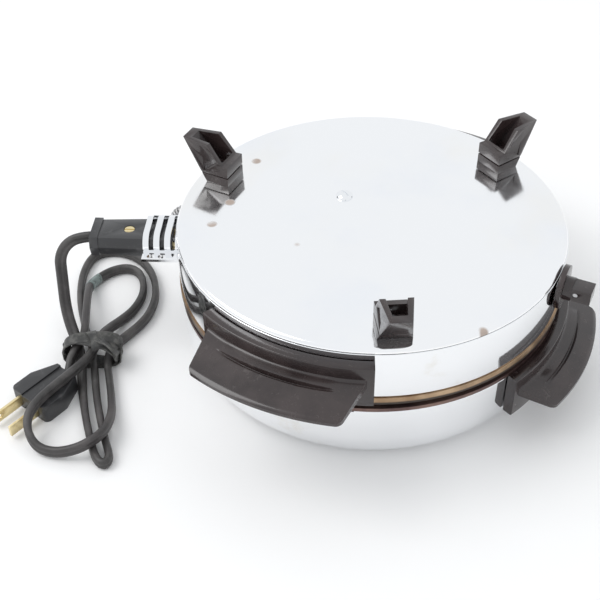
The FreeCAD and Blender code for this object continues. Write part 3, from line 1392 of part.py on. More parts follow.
doc.recompute()
for thing in doc.Objects:
    if "Invalid" in thing.State or "Error" in thing.State:
        raise RuntimeError(f"{thing.Name} did not build: {thing.State}")
for thing in NODES:
    shape = thing.Shape
    if shape.isNull() or not shape.isValid() or not shape.Solids:
        raise RuntimeError(f"{thing.Label} has no valid solid")
    shape.exportStep(f"parts/{thing.Label}.step")
    print(thing.Label, len(shape.Solids), round(shape.Volume))
print(len(NODES), "sub-parts")
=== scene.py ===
import math

import bmesh
import bpy
from mathutils import Matrix, Vector


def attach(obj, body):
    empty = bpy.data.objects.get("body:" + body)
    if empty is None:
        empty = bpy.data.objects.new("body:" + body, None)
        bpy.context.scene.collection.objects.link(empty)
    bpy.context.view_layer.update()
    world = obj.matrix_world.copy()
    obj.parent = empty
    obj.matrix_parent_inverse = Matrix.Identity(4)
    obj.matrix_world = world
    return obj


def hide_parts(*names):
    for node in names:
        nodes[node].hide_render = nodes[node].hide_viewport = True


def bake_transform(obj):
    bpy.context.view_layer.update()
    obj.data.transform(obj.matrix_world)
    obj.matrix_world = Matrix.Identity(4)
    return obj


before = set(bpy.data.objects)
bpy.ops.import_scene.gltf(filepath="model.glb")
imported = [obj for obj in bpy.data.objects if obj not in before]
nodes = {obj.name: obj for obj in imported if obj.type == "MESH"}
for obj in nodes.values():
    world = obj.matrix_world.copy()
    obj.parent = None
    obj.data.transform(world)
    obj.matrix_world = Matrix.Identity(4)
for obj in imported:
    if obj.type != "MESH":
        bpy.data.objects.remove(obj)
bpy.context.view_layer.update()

# Sizes in millimetres, in the part's own frame
MM = 0.001
WALL_RADIUS = 100.4
LID_RADIUS = 100.0
LID_CORNER = 21.0
LID_HEIGHT = 40.0
WALL_LOW, WALL_TOP = 49.7, 77.0
PLATE_TOP = 79.6
PLATE_EDGE = 2.4
SHEET = 0.8
FOOT_ANGLES = {"foot_rear": 90, "foot_left": 210, "foot_right": 330}


def mm(*values):
    return Vector(values) * MM


# Camera, floor and light
def place_camera():
    """The photograph's view: from beyond the left handle, looking down on the bottom plate."""
    camera = bpy.data.objects.new("camera", bpy.data.cameras.new("camera"))
    bpy.context.collection.objects.link(camera)
    right, up = Vector((0.44168, -0.89708, -0.01307)), Vector((0.59099, 0.27996, 0.75654))
    turn = Matrix((right, up, right.cross(up))).transposed().to_4x4()
    camera.matrix_world = Matrix.Translation(mm(-406.75, -164.34, 401.23)) @ turn
    camera.data.sensor_width = 36
    camera.data.lens = 63
    bpy.context.scene.camera = camera


def new_object(name, mesh):
    thing = bpy.data.objects.new(name, mesh)
    bpy.context.collection.objects.link(thing)
    return thing


def build_mesh(name, points, faces, smooth=True):
    mesh = bpy.data.meshes.new(name)
    mesh.from_pydata([tuple(p) for p in points], [], faces)
    mesh.update()
    if smooth:
        mesh.shade_smooth()
    return mesh


# Materials: a socket that takes part in arithmetic, and a builder with one method for any node
class Value:
    def __init__(self, finish, socket):
        self.finish, self.socket = finish, socket

    def maths(self, operation, *terms):
        return self.finish.node("ShaderNodeMath", {"operation": operation}, *terms)

    def __add__(self, other):
        return self.maths("ADD", self, other)

    def __radd__(self, other):
        return self.maths("ADD", other, self)

    def __sub__(self, other):
        return self.maths("SUBTRACT", self, other)

    def __rsub__(self, other):
        return self.maths("SUBTRACT", other, self)

    def __mul__(self, other):
        return self.maths("MULTIPLY", self, other)

    def __rmul__(self, other):
        return self.maths("MULTIPLY", other, self)

    def __truediv__(self, other):
        return self.maths("DIVIDE", self, other)

    def above(self, low, high):
        """Zero under low, one over high, smooth between."""
        return self.finish.node("ShaderNodeMapRange", {"interpolation_type": "SMOOTHSTEP"},
                                self, low, high, 0.0, 1.0)


class Finish:
    def __init__(self, name):
        self.material = bpy.data.materials.new(name)
        self.material.use_nodes = True
        self.tree = self.material.node_tree
        self.shader = self.tree.nodes["Principled BSDF"]
        self.place = self.node("ShaderNodeTexCoord", {}, output="Object")

    def node(self, kind, settings, *inputs, output=0, **named):
        made = self.tree.nodes.new(kind)
        for key, setting in settings.items():
            if key == "stops":
                for i, (position, colour) in enumerate(setting):
                    stops = made.color_ramp.elements
                    stop = stops[i] if i < len(stops) else stops.new(position)
                    stop.position, stop.color = position, (*colour, 1.0)
            else:
                setattr(made, key, setting)
        for key, given in [*enumerate(inputs), *named.items()]:
            socket = made.inputs[key] if isinstance(key, int) else made.inputs[key.replace("_", " ")]
            if isinstance(given, Value):
                self.tree.links.new(given.socket, socket)
            elif given is not None:
                socket.default_value = given
        return Value(self, made.outputs[output])

    def noise(self, scale, detail=3.0, roughness=0.55, place=None):
        return self.node("ShaderNodeTexNoise", {}, Vector=place or self.place, Scale=scale, Detail=detail,
                         Roughness=roughness)

    def stretched(self, x, y, z):
        """Object coordinates scaled along each axis, for grain that runs one way."""
        return self.node("ShaderNodeMapping", {}, Vector=self.place, Scale=(x, y, z))

    def spots(self, scale, size):
        """Round specks, one in each cell of a random pattern."""
        cells = self.node("ShaderNodeTexVoronoi", {}, Vector=self.place, Scale=scale, Randomness=1.0)
        return 1 - cells.above(size * 0.6, size)

    def mix(self, factor, first, second):
        """A colour between two colours."""
        made = self.tree.nodes.new("ShaderNodeMix")
        made.data_type = "RGBA"
        for index, given in ((0, factor), (6, first), (7, second)):
            if isinstance(given, Value):
                self.tree.links.new(given.socket, made.inputs[index])
            else:
                made.inputs[index].default_value = given if index == 0 else (*given, 1.0)
        return Value(self, made.outputs[2])

    def bump(self, height, distance, strength=1.0):
        return self.node("ShaderNodeBump", {}, Strength=strength, Distance=distance, Height=height)

    def set(self, **sockets):
        for key, given in sockets.items():
            socket = self.shader.inputs[key.replace("_", " ")]
            if isinstance(given, Value):
                self.tree.links.new(given.socket, socket)
            elif isinstance(given, tuple):
                socket.default_value = (*given, 1.0)
            else:
                socket.default_value = given
        return self.material


def mirror_chrome():
    """Bright plating with faint cleaning marks and a few dull water stains."""
    f = Finish("mirror_chrome")
    haze = f.noise(9.0, 4.0).above(0.5, 0.72)
    stain = f.noise(26.0, 5.0, 0.7).above(0.6, 0.74)
    fine = f.noise(420.0, 2.0)
    colour = f.mix(haze * 0.35, (0.9, 0.91, 0.925), (0.84, 0.83, 0.85))
    colour = f.mix(stain * 0.35, colour, (0.72, 0.68, 0.6))
    return f.set(Base_Color=colour, Metallic=1.0, Roughness=0.055 + haze * 0.05 + stain * 0.1,
                 Normal=f.bump(fine, 0.00002, 0.15))


def plate_chrome():
    """The bottom plate: chrome with pale coloured clouds, rings of dried water and brown specks."""
    f = Finish("plate_chrome")
    cloud = f.noise(14.0, 4.0).above(0.45, 0.7)
    warm = f.noise(11.0, 3.0, place=f.stretched(1.0, 1.4, 1.0)).above(0.52, 0.74)
    specks = f.spots(34.0, 0.11) * f.noise(20.0, 1.0).above(0.5, 0.56)
    scuff = f.noise(900.0, 2.0).above(0.62, 0.75)
    colour = f.mix(cloud * 0.4, (0.95, 0.955, 0.965), (0.86, 0.89, 0.95))
    colour = f.mix(warm * 0.4, colour, (0.95, 0.92, 0.86))
    colour = f.mix(specks * 0.75, colour, (0.3, 0.19, 0.12))
    return f.set(Base_Color=colour, Metallic=1.0 - specks * 0.8,
                 Roughness=0.09 + cloud * 0.08 + specks * 0.4 + scuff * 0.03,
                 Normal=f.bump(f.noise(60.0, 3.0), 0.00005, 0.2))


def browned_casting():
    """Cast aluminium, brown and golden where oil has baked on, with a painted shade along its lower edge:
    near black and less metallic there, standing in for the shadow in the gap beneath the flange.
    """
    f = Finish("browned_casting")
    oil = f.noise(30.0, 5.0, 0.65).above(0.35, 0.68)
    runs = f.noise(55.0, 3.0, place=f.stretched(1.0, 1.0, 0.2)).above(0.5, 0.75)
    grain = f.noise(1400.0, 3.0)
    colour = f.mix(oil, (0.3, 0.19, 0.11), (0.55, 0.4, 0.26))
    colour = f.mix(runs * 0.7, colour, (0.1, 0.055, 0.035))
    # painted shade: below a set height the casting turns near black and less metallic, standing in for the
    # shadow in the gap under the flange
    height = f.node("ShaderNodeSeparateXYZ", {}, Vector=f.place, output=2)
    painted_gap_shade = 1 - (height + f.noise(45.0, 3.0) * 0.0012).above(0.0472, 0.0482)
    colour = f.mix(painted_gap_shade * 0.93, colour, (0.012, 0.008, 0.007))
    return f.set(Base_Color=colour, Metallic=0.85 - painted_gap_shade * 0.6, Roughness=0.32 + oil * 0.2,
                 Normal=f.bump(grain, 0.00006, 0.5))


def burnt_casting():
    """The lid's grid: the same casting, darkened to a purple brown at its rim."""
    f = Finish("burnt_casting")
    oil = f.noise(34.0, 5.0, 0.65).above(0.3, 0.7)
    grain = f.noise(1400.0, 3.0)
    colour = f.mix(oil, (0.1, 0.06, 0.06), (0.26, 0.17, 0.14))
    return f.set(Base_Color=colour, Metallic=0.7, Roughness=0.36 + oil * 0.2,
                 Normal=f.bump(grain, 0.00006, 0.5))


def brown_bakelite():
    """Dark brown thermoset with a worn satin gloss and faint mottling."""
    f = Finish("brown_bakelite")
    mottle = f.noise(38.0, 5.0, 0.6).above(0.35, 0.7)
    wear = f.noise(120.0, 4.0, 0.7).above(0.58, 0.75)
    dust = f.noise(800.0, 2.0).above(0.66, 0.74)
    colour = f.mix(mottle, (0.018, 0.011, 0.011), (0.038, 0.026, 0.025))
    colour = f.mix(wear * 0.3 + dust * 0.2, colour, (0.14, 0.12, 0.115))
    return f.set(Base_Color=colour, Roughness=0.2 + mottle * 0.08 + wear * 0.16, Coat_Weight=0.35,
                 Normal=f.bump(f.noise(300.0, 3.0), 0.00005, 0.25))


def black_moulding(name, dull):
    """Black moulded plug body with scuffs on its faces."""
    f = Finish(name)
    scuff = f.noise(150.0, 5.0, 0.7).above(0.55, 0.75)
    grey = f.noise(40.0, 3.0).above(0.4, 0.7)
    colour = f.mix(grey * 0.6, (0.03, 0.03, 0.032), (0.06, 0.06, 0.062))
    colour = f.mix(scuff * 0.35, colour, (0.17, 0.17, 0.17))
    return f.set(Base_Color=colour, Roughness=dull + scuff * 0.2, Coat_Weight=0.12,
                 Normal=f.bump(f.noise(500.0, 3.0), 0.00005, 0.3))


def cord_rubber():
    """Old flat rubber cord: grey-black, dusty along its groove."""
    f = Finish("cord_rubber")
    bloom = f.noise(70.0, 4.0, 0.65).above(0.4, 0.72)
    grime = f.noise(18.0, 3.0).above(0.45, 0.7)
    colour = f.mix(bloom, (0.04, 0.038, 0.037), (0.095, 0.09, 0.087))
    colour = f.mix(grime * 0.4, colour, (0.06, 0.05, 0.052))
    return f.set(Base_Color=colour, Roughness=0.42 + bloom * 0.15,
                 Normal=f.bump(f.noise(650.0, 3.0), 0.00006, 0.35))


def creased_strip():
    f = Finish("creased_strip")
    crease = f.noise(160.0, 5.0, 0.7, f.stretched(1.0, 1.0, 2.2))
    colour = f.mix(crease.above(0.4, 0.65), (0.035, 0.035, 0.034), (0.11, 0.108, 0.1))
    return f.set(Base_Color=colour, Roughness=0.5, Normal=f.bump(crease, 0.0006, 0.7))


def grey_green_tape():
    f = Finish("grey_green_tape")
    rubbed = f.noise(260.0, 4.0, 0.7).above(0.45, 0.65)
    colour = f.mix(rubbed, (0.22, 0.27, 0.26), (0.1, 0.12, 0.115))
    return f.set(Base_Color=colour, Roughness=0.5 + rubbed * 0.2,
                 Normal=f.bump(f.noise(380.0, 3.0), 0.0001, 0.5))


def bare_metal(name, light, dark, rough, grain=(1.0, 1.0, 1.0)):
    """Steel or brass with fine drawn grain and darker tarnish."""
    f = Finish(name)
    tarnish = f.noise(90.0, 4.0, 0.65).above(0.42, 0.7)
    lines = f.noise(900.0, 2.0, place=f.stretched(*grain))
    return f.set(Base_Color=f.mix(tarnish, light, dark), Metallic=1.0, Roughness=rough + tarnish * 0.2,
                 Normal=f.bump(lines, 0.00003, 0.4))


def steatite():
    f = Finish("steatite")
    pits = f.noise(700.0, 3.0)
    tint = f.noise(60.0, 3.0).above(0.4, 0.7)
    return f.set(Base_Color=f.mix(tint, (0.8, 0.77, 0.69), (0.66, 0.6, 0.5)), Roughness=0.7 + tint * 0.1,
                 Normal=f.bump(pits, 0.0001, 0.4))


def floor_paint():
    f = Finish("floor_paint")
    return f.set(Base_Color=(0.93, 0.925, 0.92), Roughness=0.75)


CHROME = mirror_chrome()
PLATE_CHROME = plate_chrome()
CASTING = browned_casting()
BURNT = burnt_casting()
BAKELITE = brown_bakelite()
PLUG_BLACK = black_moulding("plug_black", 0.28)
WALL_PLUG_BLACK = black_moulding("wall_plug_black", 0.38)
CORD = cord_rubber()
STRIP = creased_strip()
TAPE = grey_green_tape()
STEEL = bare_metal("plain_steel", (0.62, 0.62, 0.63), (0.36, 0.35, 0.34), 0.25)
HEATED_STEEL = bare_metal("heated_steel", (0.3, 0.28, 0.28), (0.16, 0.13, 0.12), 0.4)
BRASS = bare_metal("worn_brass", (0.82, 0.7, 0.42), (0.5, 0.38, 0.18), 0.28, (0.2, 0.2, 1.0))
STEATITE = steatite()


def light_studio():
    """A pale floor under an even white sky, with one broad soft light."""
    size = 3.0
    floor = new_object("floor", build_mesh("floor", [(-size, -size, 0), (size, -size, 0), (size, size, 0),
                                                     (-size, size, 0)], [(0, 1, 2, 3)], False))
    floor.data.materials.append(floor_paint())
    world = bpy.data.worlds.new("sky")
    bpy.context.scene.world = world
    world.use_nodes = True
    world.node_tree.nodes["Background"].inputs[0].default_value = (0.96, 0.98, 1.0, 1.0)
    world.node_tree.nodes["Background"].inputs[1].default_value = 0.95
    for name, place, size, power in (("key", (-0.5, 0.9, 1.3), 0.9, 9.0),):
        lamp = bpy.data.objects.new(name, bpy.data.lights.new(name, "AREA"))
        lamp.data.size = size
        lamp.data.energy = power
        lamp.location = place
        lamp.rotation_euler = (Vector((0, 0, 0.05)) - Vector(place)).to_track_quat("-Z", "Y").to_euler()
        bpy.context.collection.objects.link(lamp)
    bpy.context.scene.view_settings.view_transform = "Standard"


# Cord: one flat two-core lead from the appliance plug, down to the table, tied in a bow of four
# loops, to the wall plug. The points are the route's, in metres.
CORD_WIDTH = 0.0063
LEAD_POINTS = [
    (-0.0572, 0.1346, 0.0624), (-0.0609, 0.1424, 0.0619), (-0.0648, 0.1488, 0.0576),
    (-0.0683, 0.1516, 0.0504), (-0.0695, 0.1514, 0.0419), (-0.0712, 0.1508, 0.0320),
    (-0.0738, 0.1496, 0.0214), (-0.0773, 0.1458, 0.0126), (-0.0816, 0.1399, 0.0069),
    (-0.0869, 0.1346, 0.0050),
]
HANK_POINTS = [
    (-0.0916, 0.1299, 0.0049), (-0.1006, 0.1230, 0.0044), (-0.1106, 0.1156, 0.0032),
    (-0.1248, 0.1040, 0.0032), (-0.1380, 0.0916, 0.0032), (-0.1476, 0.0816, 0.0032),
    (-0.1486, 0.0756, 0.0032), (-0.1428, 0.0764, 0.0032), (-0.1374, 0.0822, 0.0032),
    (-0.1246, 0.0946, 0.0032), (-0.1108, 0.1066, 0.0034), (-0.1002, 0.1145, 0.0045),
    (-0.0879, 0.1239, 0.0049), (-0.0792, 0.1319, 0.0044),
    (-0.0706, 0.1414, 0.0032), (-0.0578, 0.1536, 0.0032), (-0.0431, 0.1646, 0.0032),
    (-0.0283, 0.1725, 0.0032), (-0.0150, 0.1759, 0.0032), (-0.0069, 0.1726, 0.0032),
    (-0.0022, 0.1637, 0.0032), (-0.0024, 0.1526, 0.0032), (-0.0072, 0.1407, 0.0032),
    (-0.0164, 0.1297, 0.0032), (-0.0296, 0.1206, 0.0032), (-0.0433, 0.1160, 0.0032),
    (-0.0552, 0.1158, 0.0032), (-0.0671, 0.1180, 0.0034), (-0.0780, 0.1189, 0.0044),
    (-0.0883, 0.1149, 0.0049), (-0.0972, 0.1077, 0.0042), (-0.1080, 0.0990, 0.0034),
    (-0.1186, 0.0914, 0.0046), (-0.1276, 0.0866, 0.0084), (-0.1352, 0.0846, 0.0098),
    (-0.1430, 0.0864, 0.0098), (-0.1490, 0.0919, 0.0074), (-0.1530, 0.1018, 0.0038),
    (-0.1547, 0.1115, 0.0044), (-0.1514, 0.1190, 0.0080), (-0.1454, 0.1236, 0.0120),
    (-0.1376, 0.1240, 0.0142), (-0.1284, 0.1234, 0.0143), (-0.1180, 0.1216, 0.0143),
    (-0.1080, 0.1202, 0.0140), (-0.0964, 0.1204, 0.0124), (-0.0864, 0.1228, 0.0112),
    (-0.0766, 0.1258, 0.0102), (-0.0664, 0.1276, 0.0064), (-0.0564, 0.1276, 0.0036),
    (-0.0456, 0.1259, 0.0032), (-0.0328, 0.1278, 0.0032), (-0.0219, 0.1339, 0.0032),
    (-0.0144, 0.1419, 0.0032), (-0.0136, 0.1506, 0.0032), (-0.0203, 0.1577, 0.0032),
    (-0.0302, 0.1610, 0.0033), (-0.0406, 0.1592, 0.0060), (-0.0500, 0.1534, 0.0096),
    (-0.0610, 0.1464, 0.0104), (-0.0720, 0.1394, 0.0109), (-0.0820, 0.1332, 0.0112),
    (-0.0912, 0.1315, 0.0112), (-0.0984, 0.1306, 0.0096), (-0.1034, 0.1286, 0.0070),
    (-0.1076, 0.1272, 0.0056), (-0.1119, 0.1281, 0.0055),
]


def cord_line(points, resolution=6):
    """The points along a smooth spline whose control points are the route's."""
    curve = bpy.data.curves.new("cord_line", "CURVE")
    curve.dimensions = "3D"
    spline = curve.splines.new("NURBS")
    spline.points.add(len(points) - 1)
    for knot, place in zip(spline.points, points):
        knot.co = (*place, 1.0)
    spline.order_u = 3
    spline.use_endpoint_u = True
    spline.resolution_u = resolution
    guide = new_object("cord_line", curve)
    mesh = bpy.data.meshes.new_from_object(guide)
    line = [v.co.copy() for v in mesh.vertices]
    bpy.data.objects.remove(guide)
    bpy.data.meshes.remove(mesh)
    return line


def flat_section(width, lobe=0.31, around=12):
    """Outline of two cores side by side: two circles that meet in a shallow groove."""
    radius = width * lobe
    shift = width / 2 - radius
    meet = math.acos(-shift / radius)
    half = [(shift + radius * math.cos(a), radius * math.sin(a))
            for a in (meet * (2 * i / around - 1) for i in range(around + 1))]
    return half + [(-u, -v) for u, v in half[1:-1]]


def sweep(name, line, section, first_width, stand_from, stand_to, first=0, last=None):
    """A tube of any section along a line, or along a part of it. Its width keeps its direction and
    then turns upright, as a flat cord stands on edge in a loop on the table."""
    last = len(line) - 1 if last is None else last
    ways = [(line[min(i + 1, len(line) - 1)] - line[max(i - 1, 0)]).normalized() for i in range(len(line))]
    wide = Vector(first_width)
    run, spin, points = 0.0, 0.0, []
    for i, (place, way) in enumerate(zip(line, ways)):
        if i:
            run += (place - line[i - 1]).length
            wide = ways[i - 1].rotation_difference(way) @ wide
        wide = (wide - way * wide.dot(way)).normalized()
        upright = Vector((0, 0, 1)) - way * way.z
        share = min(max((run - stand_from) / (stand_to - stand_from), 0), 1)
        if share > 0 and upright.length > 0.3:
            upright.normalize()
            angle = math.atan2(wide.cross(upright).dot(way), wide.dot(upright))
            if abs(angle) > math.pi / 2:
                angle -= math.copysign(math.pi, angle)
            spin = angle * share * share * (3 - 2 * share)
        turned = Matrix.Rotation(spin, 3, way) @ wide
        thick = way.cross(turned)
        if first <= i <= last:
            points += [place + turned * u + thick * v for u, v in section]
    n, rings = len(section), last - first + 1
    faces = [(r * n + k, r * n + (k + 1) % n, (r + 1) * n + (k + 1) % n, (r + 1) * n + k)
             for r in range(rings - 1) for k in range(n)]
    faces += [tuple(range(n - 1, -1, -1)), tuple(range((rings - 1) * n, rings * n))]
    return build_mesh(name, points, faces)


def make_cord():
    line = cord_line(LEAD_POINTS + HANK_POINTS)
    mesh = sweep("cord", line, flat_section(CORD_WIDTH), (0, 0, 1), 0.07, 0.14)
    cord = new_object("cord", mesh)
    mesh.materials.append(CORD)
    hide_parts("cord_lead", "cord_hank")
    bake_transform(cord)
    return line


def make_tape(line):
    """A wrap of tape round the inner upper loop."""
    near = [min(range(len(line)), key=lambda i: (line[i] - mm(*spot)).length)
            for spot in ((-30.0, 161.0, 3.3), (-41.6, 158.6, 6.3))]
    half_width, half_thick = CORD_WIDTH / 2 + 0.0003, CORD_WIDTH * 0.31 + 0.0004
    oval = [(half_width * math.cos(a), half_thick * math.sin(a))
            for a in (math.pi * k / 14 for k in range(28))]
    mesh = sweep("cord_tape", line, oval, (0, 0, 1), 0.07, 0.14, min(near), max(near))
    mesh.materials.append(TAPE)
    tape = new_object("cord_tape", mesh)
    finish_piece(tape, "lid", "tie_strip")


place_camera()
light_studio()
cord_path = make_cord()


# The strip that ties the bundle: two bands that cross on top, a knot over the crossing and a tail
TIE_PLACE, TIE_TURN = (-86.9, 124.3), 199.3
TIE_HALF_LENGTH, TIE_LOW, TIE_HIGH = 14.6, 0.9, 16.2


def ribbon(path, across, half_width, thick, closed=False):
    """Points and faces of a flat strip along a path; across gives its width direction at each point."""
    points, faces, count = [], [], len(path)
    for i, here in enumerate(path):
        ahead = path[(i + 1) % count] if closed or i < count - 1 else here
        behind = path[i - 1] if closed or i else here
        way = (ahead - behind).normalized()
        wide = (across[i] - way * way.dot(across[i])).normalized()
        out = way.cross(wide)
        half = half_width[i] if isinstance(half_width, list) else half_width
        rim = [(-1, 0.1), (-0.93, 0.5), (-0.45, 0.66), (0, 0.56), (0.45, 0.66), (0.93, 0.5), (1, 0.1),
               (0.93, -0.3), (0, -0.36), (-0.93, -0.3)]
        points += [here + wide * (u * half) + out * (v * thick) for u, v in rim]
    ring = 10
    for i in range(count if closed else count - 1):
        a, b = i * ring, (i + 1) % count * ring
        faces += [(a + k, a + (k + 1) % ring, b + (k + 1) % ring, b + k) for k in range(ring)]
    if not closed:
        faces += [tuple(range(ring - 1, -1, -1)), tuple(range((count - 1) * ring, count * ring))]
    return points, faces


def make_tie():
    parts = []
    middle = (TIE_LOW + TIE_HIGH) / 2
    for slant, shift, swell in ((0.16, 1.4, 0.0), (-0.2, -1.2, 0.55)):
        path, across = [], []
        for k in range(72):
            a = 2 * math.pi * k / 72
            u = math.copysign(abs(math.cos(a)) ** 0.62, math.cos(a)) * (TIE_HALF_LENGTH + swell)
            v = math.copysign(abs(math.sin(a)) ** 0.62, math.sin(a)) * ((TIE_HIGH - TIE_LOW) / 2 + swell)
            drift = slant * u * (1 if v > 0 else -0.4) + 0.35 * math.sin(3 * a)
            path.append(Vector((shift + drift, u, middle + v)))
            across.append(Vector((1, -slant, 0.05 * math.cos(2 * a))))
        parts.append(ribbon(path, across, 4.0, 1.1, closed=True))
    # the knot: a short strip folded over the crossing
    knot, wide, half = [], [], []
    for k in range(25):
        t = k / 24
        a = math.pi * (1.12 * t - 0.06)
        rise = TIE_HIGH - 0.6 + 3.1 * math.sin(a)
        knot.append(Vector((-5.6 * math.cos(a), 1.5 - 3.5 * math.cos(a), rise)))
        wide.append(Vector((0.75, -1.0, 0.35 * math.sin(6 * t))))
        half.append(3.2 - 0.7 * math.sin(a) + 0.3 * math.sin(9 * t))
    parts.append(ribbon(knot, wide, half, 1.5))
    # the tail: twisted once as it leaves the knot on the right
    tail, wide, half = [], [], []
    for k in range(19):
        t = k / 18
        tail.append(Vector((0.5 + 5.2 * t, 2.5 + 15.5 * t - 1.8 * t * t, TIE_HIGH + 2.0 - 5.6 * t * t)))
        wide.append(Vector((1.0 - 0.3 * t, -0.45, 0.9 * math.sin(2.2 * t))))
        half.append(2.4 + 2.3 * t + 0.25 * math.sin(8 * t))
    parts.append(ribbon(tail, wide, half, 1.2))
    points, faces = [], []
    for own_points, own_faces in parts:
        faces += [tuple(i + len(points) for i in face) for face in own_faces]
        points += own_points
    mesh = build_mesh("tie", [p * MM for p in points], faces)
    tidy_normals(mesh)
    turn = Matrix.Rotation(math.radians(TIE_TURN), 4, "Z")
    mesh.transform(Matrix.Translation(mm(*TIE_PLACE, 0)) @ turn)
    mesh.shade_smooth()
    mesh.set_sharp_from_angle(angle=math.radians(50))
    mesh.materials.append(STRIP)
    finish_piece(new_object("cord_tie_strip", mesh), "lid", "tie_strip", "cord_tie")


# Turned shells
def rounded(points, radii, steps=6):
    """Outline of radius and height with round corners; radii maps a corner to its radius."""
    path = []
    for i, (u, v) in enumerate(points):
        here = Vector((u, v))
        if i not in radii:
            path.append(here)
            continue
        before = (Vector(points[i - 1]) - here).normalized()
        after = (Vector(points[(i + 1) % len(points)]) - here).normalized()
        half = before.angle(after) / 2
        leg = radii[i] / math.tan(half)
        centre = here + (before + after).normalized() * (radii[i] / math.sin(half))
        first, last = here + before * leg - centre, here + after * leg - centre
        turn = first.angle_signed(last)
        path += [centre + Matrix.Rotation(-turn * k / steps, 2) @ first for k in range(steps + 1)]
    return path


def lathe(name, outline, finish, body, node, slot, steps=256):
    """A closed outline turned about the vertical axis; points on the axis become poles."""
    points, faces, rows = [], [], []
    for u, v in outline:
        if u < 1e-6:
            rows.append([len(points)] * steps)
            points.append(mm(0, 0, v))
            continue
        rows.append(range(len(points), len(points) + steps))
        points += [mm(u * math.cos(a), u * math.sin(a), v)
                   for a in (2 * math.pi * k / steps for k in range(steps))]
    for row, above in zip(rows, [*rows[1:], rows[0]]):
        for k in range(steps):
            j = (k + 1) % steps
            ring = [row[k], row[j], above[j], above[k]]
            corner = [p for i, p in enumerate(ring) if p not in ring[:i]]
            if len(corner) > 2:
                faces.append(tuple(corner))
    mesh = build_mesh(name, points, faces)
    tidy_normals(mesh)
    mesh.shade_smooth()
    mesh.set_sharp_from_angle(angle=math.radians(32))
    mesh.materials.append(finish)
    piece = new_object(name, mesh)
    finish_piece(piece, body, slot, node)
    return piece


def tidy_normals(mesh):
    shape = bmesh.new()
    shape.from_mesh(mesh)
    bmesh.ops.remove_doubles(shape, verts=shape.verts, dist=1e-6)
    bmesh.ops.recalc_face_normals(shape, faces=shape.faces)
    shape.to_mesh(mesh)
    shape.free()


def finish_piece(piece, body, slot, *stands_for):
    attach(piece, body)
    if stands_for:
        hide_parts(*stands_for)


def make_shells():
    inner = WALL_RADIUS - SHEET
    wall = [(94.4, WALL_LOW), (WALL_RADIUS, WALL_LOW), (WALL_RADIUS, WALL_TOP), (inner, WALL_TOP),
            (inner, WALL_LOW + SHEET), (94.4, WALL_LOW + SHEET)]
    lathe("chrome_wall", rounded(wall, {1: 1.2, 2: 0.35, 3: 0.35}), CHROME, "base", "base_wall", "chrome")
    flat = LID_RADIUS - LID_CORNER
    dish = [(0, 0), (flat, 0)]
    for k in range(1, 25):
        a = math.pi / 2 * k / 24
        dish.append((flat + LID_CORNER * math.sin(a), LID_CORNER - LID_CORNER * math.cos(a)))
    dish += [(LID_RADIUS, LID_HEIGHT - 0.8), (LID_RADIUS - 0.8, LID_HEIGHT), (92, LID_HEIGHT),
             (92, LID_HEIGHT - SHEET), (LID_RADIUS - 1.2, LID_HEIGHT - SHEET)]
    for k in range(24, 0, -1):
        a, r = math.pi / 2 * k / 24, LID_CORNER - SHEET
        dish.append((flat + r * math.sin(a), LID_CORNER - r * math.cos(a)))
    dish.append((0, SHEET))
    lathe("chrome_lid", dish, CHROME, "lid", "lid_shell", "chrome")
    low = WALL_TOP + 0.2
    rim = LID_RADIUS - PLATE_EDGE
    disc = [(0, PLATE_TOP - 1), (98.1, PLATE_TOP - 1), (98.1, low - 4.5), (99.1, low - 4.5),
            (99.1, low)]
    for k in range(0, 13):
        a = math.pi / 2 * k / 12
        disc.append((rim + PLATE_EDGE * math.cos(a), low + PLATE_EDGE * math.sin(a)))
    disc.append((0, PLATE_TOP))
    lathe("chrome_plate", disc, PLATE_CHROME, "base", "bottom_plate", "chrome")


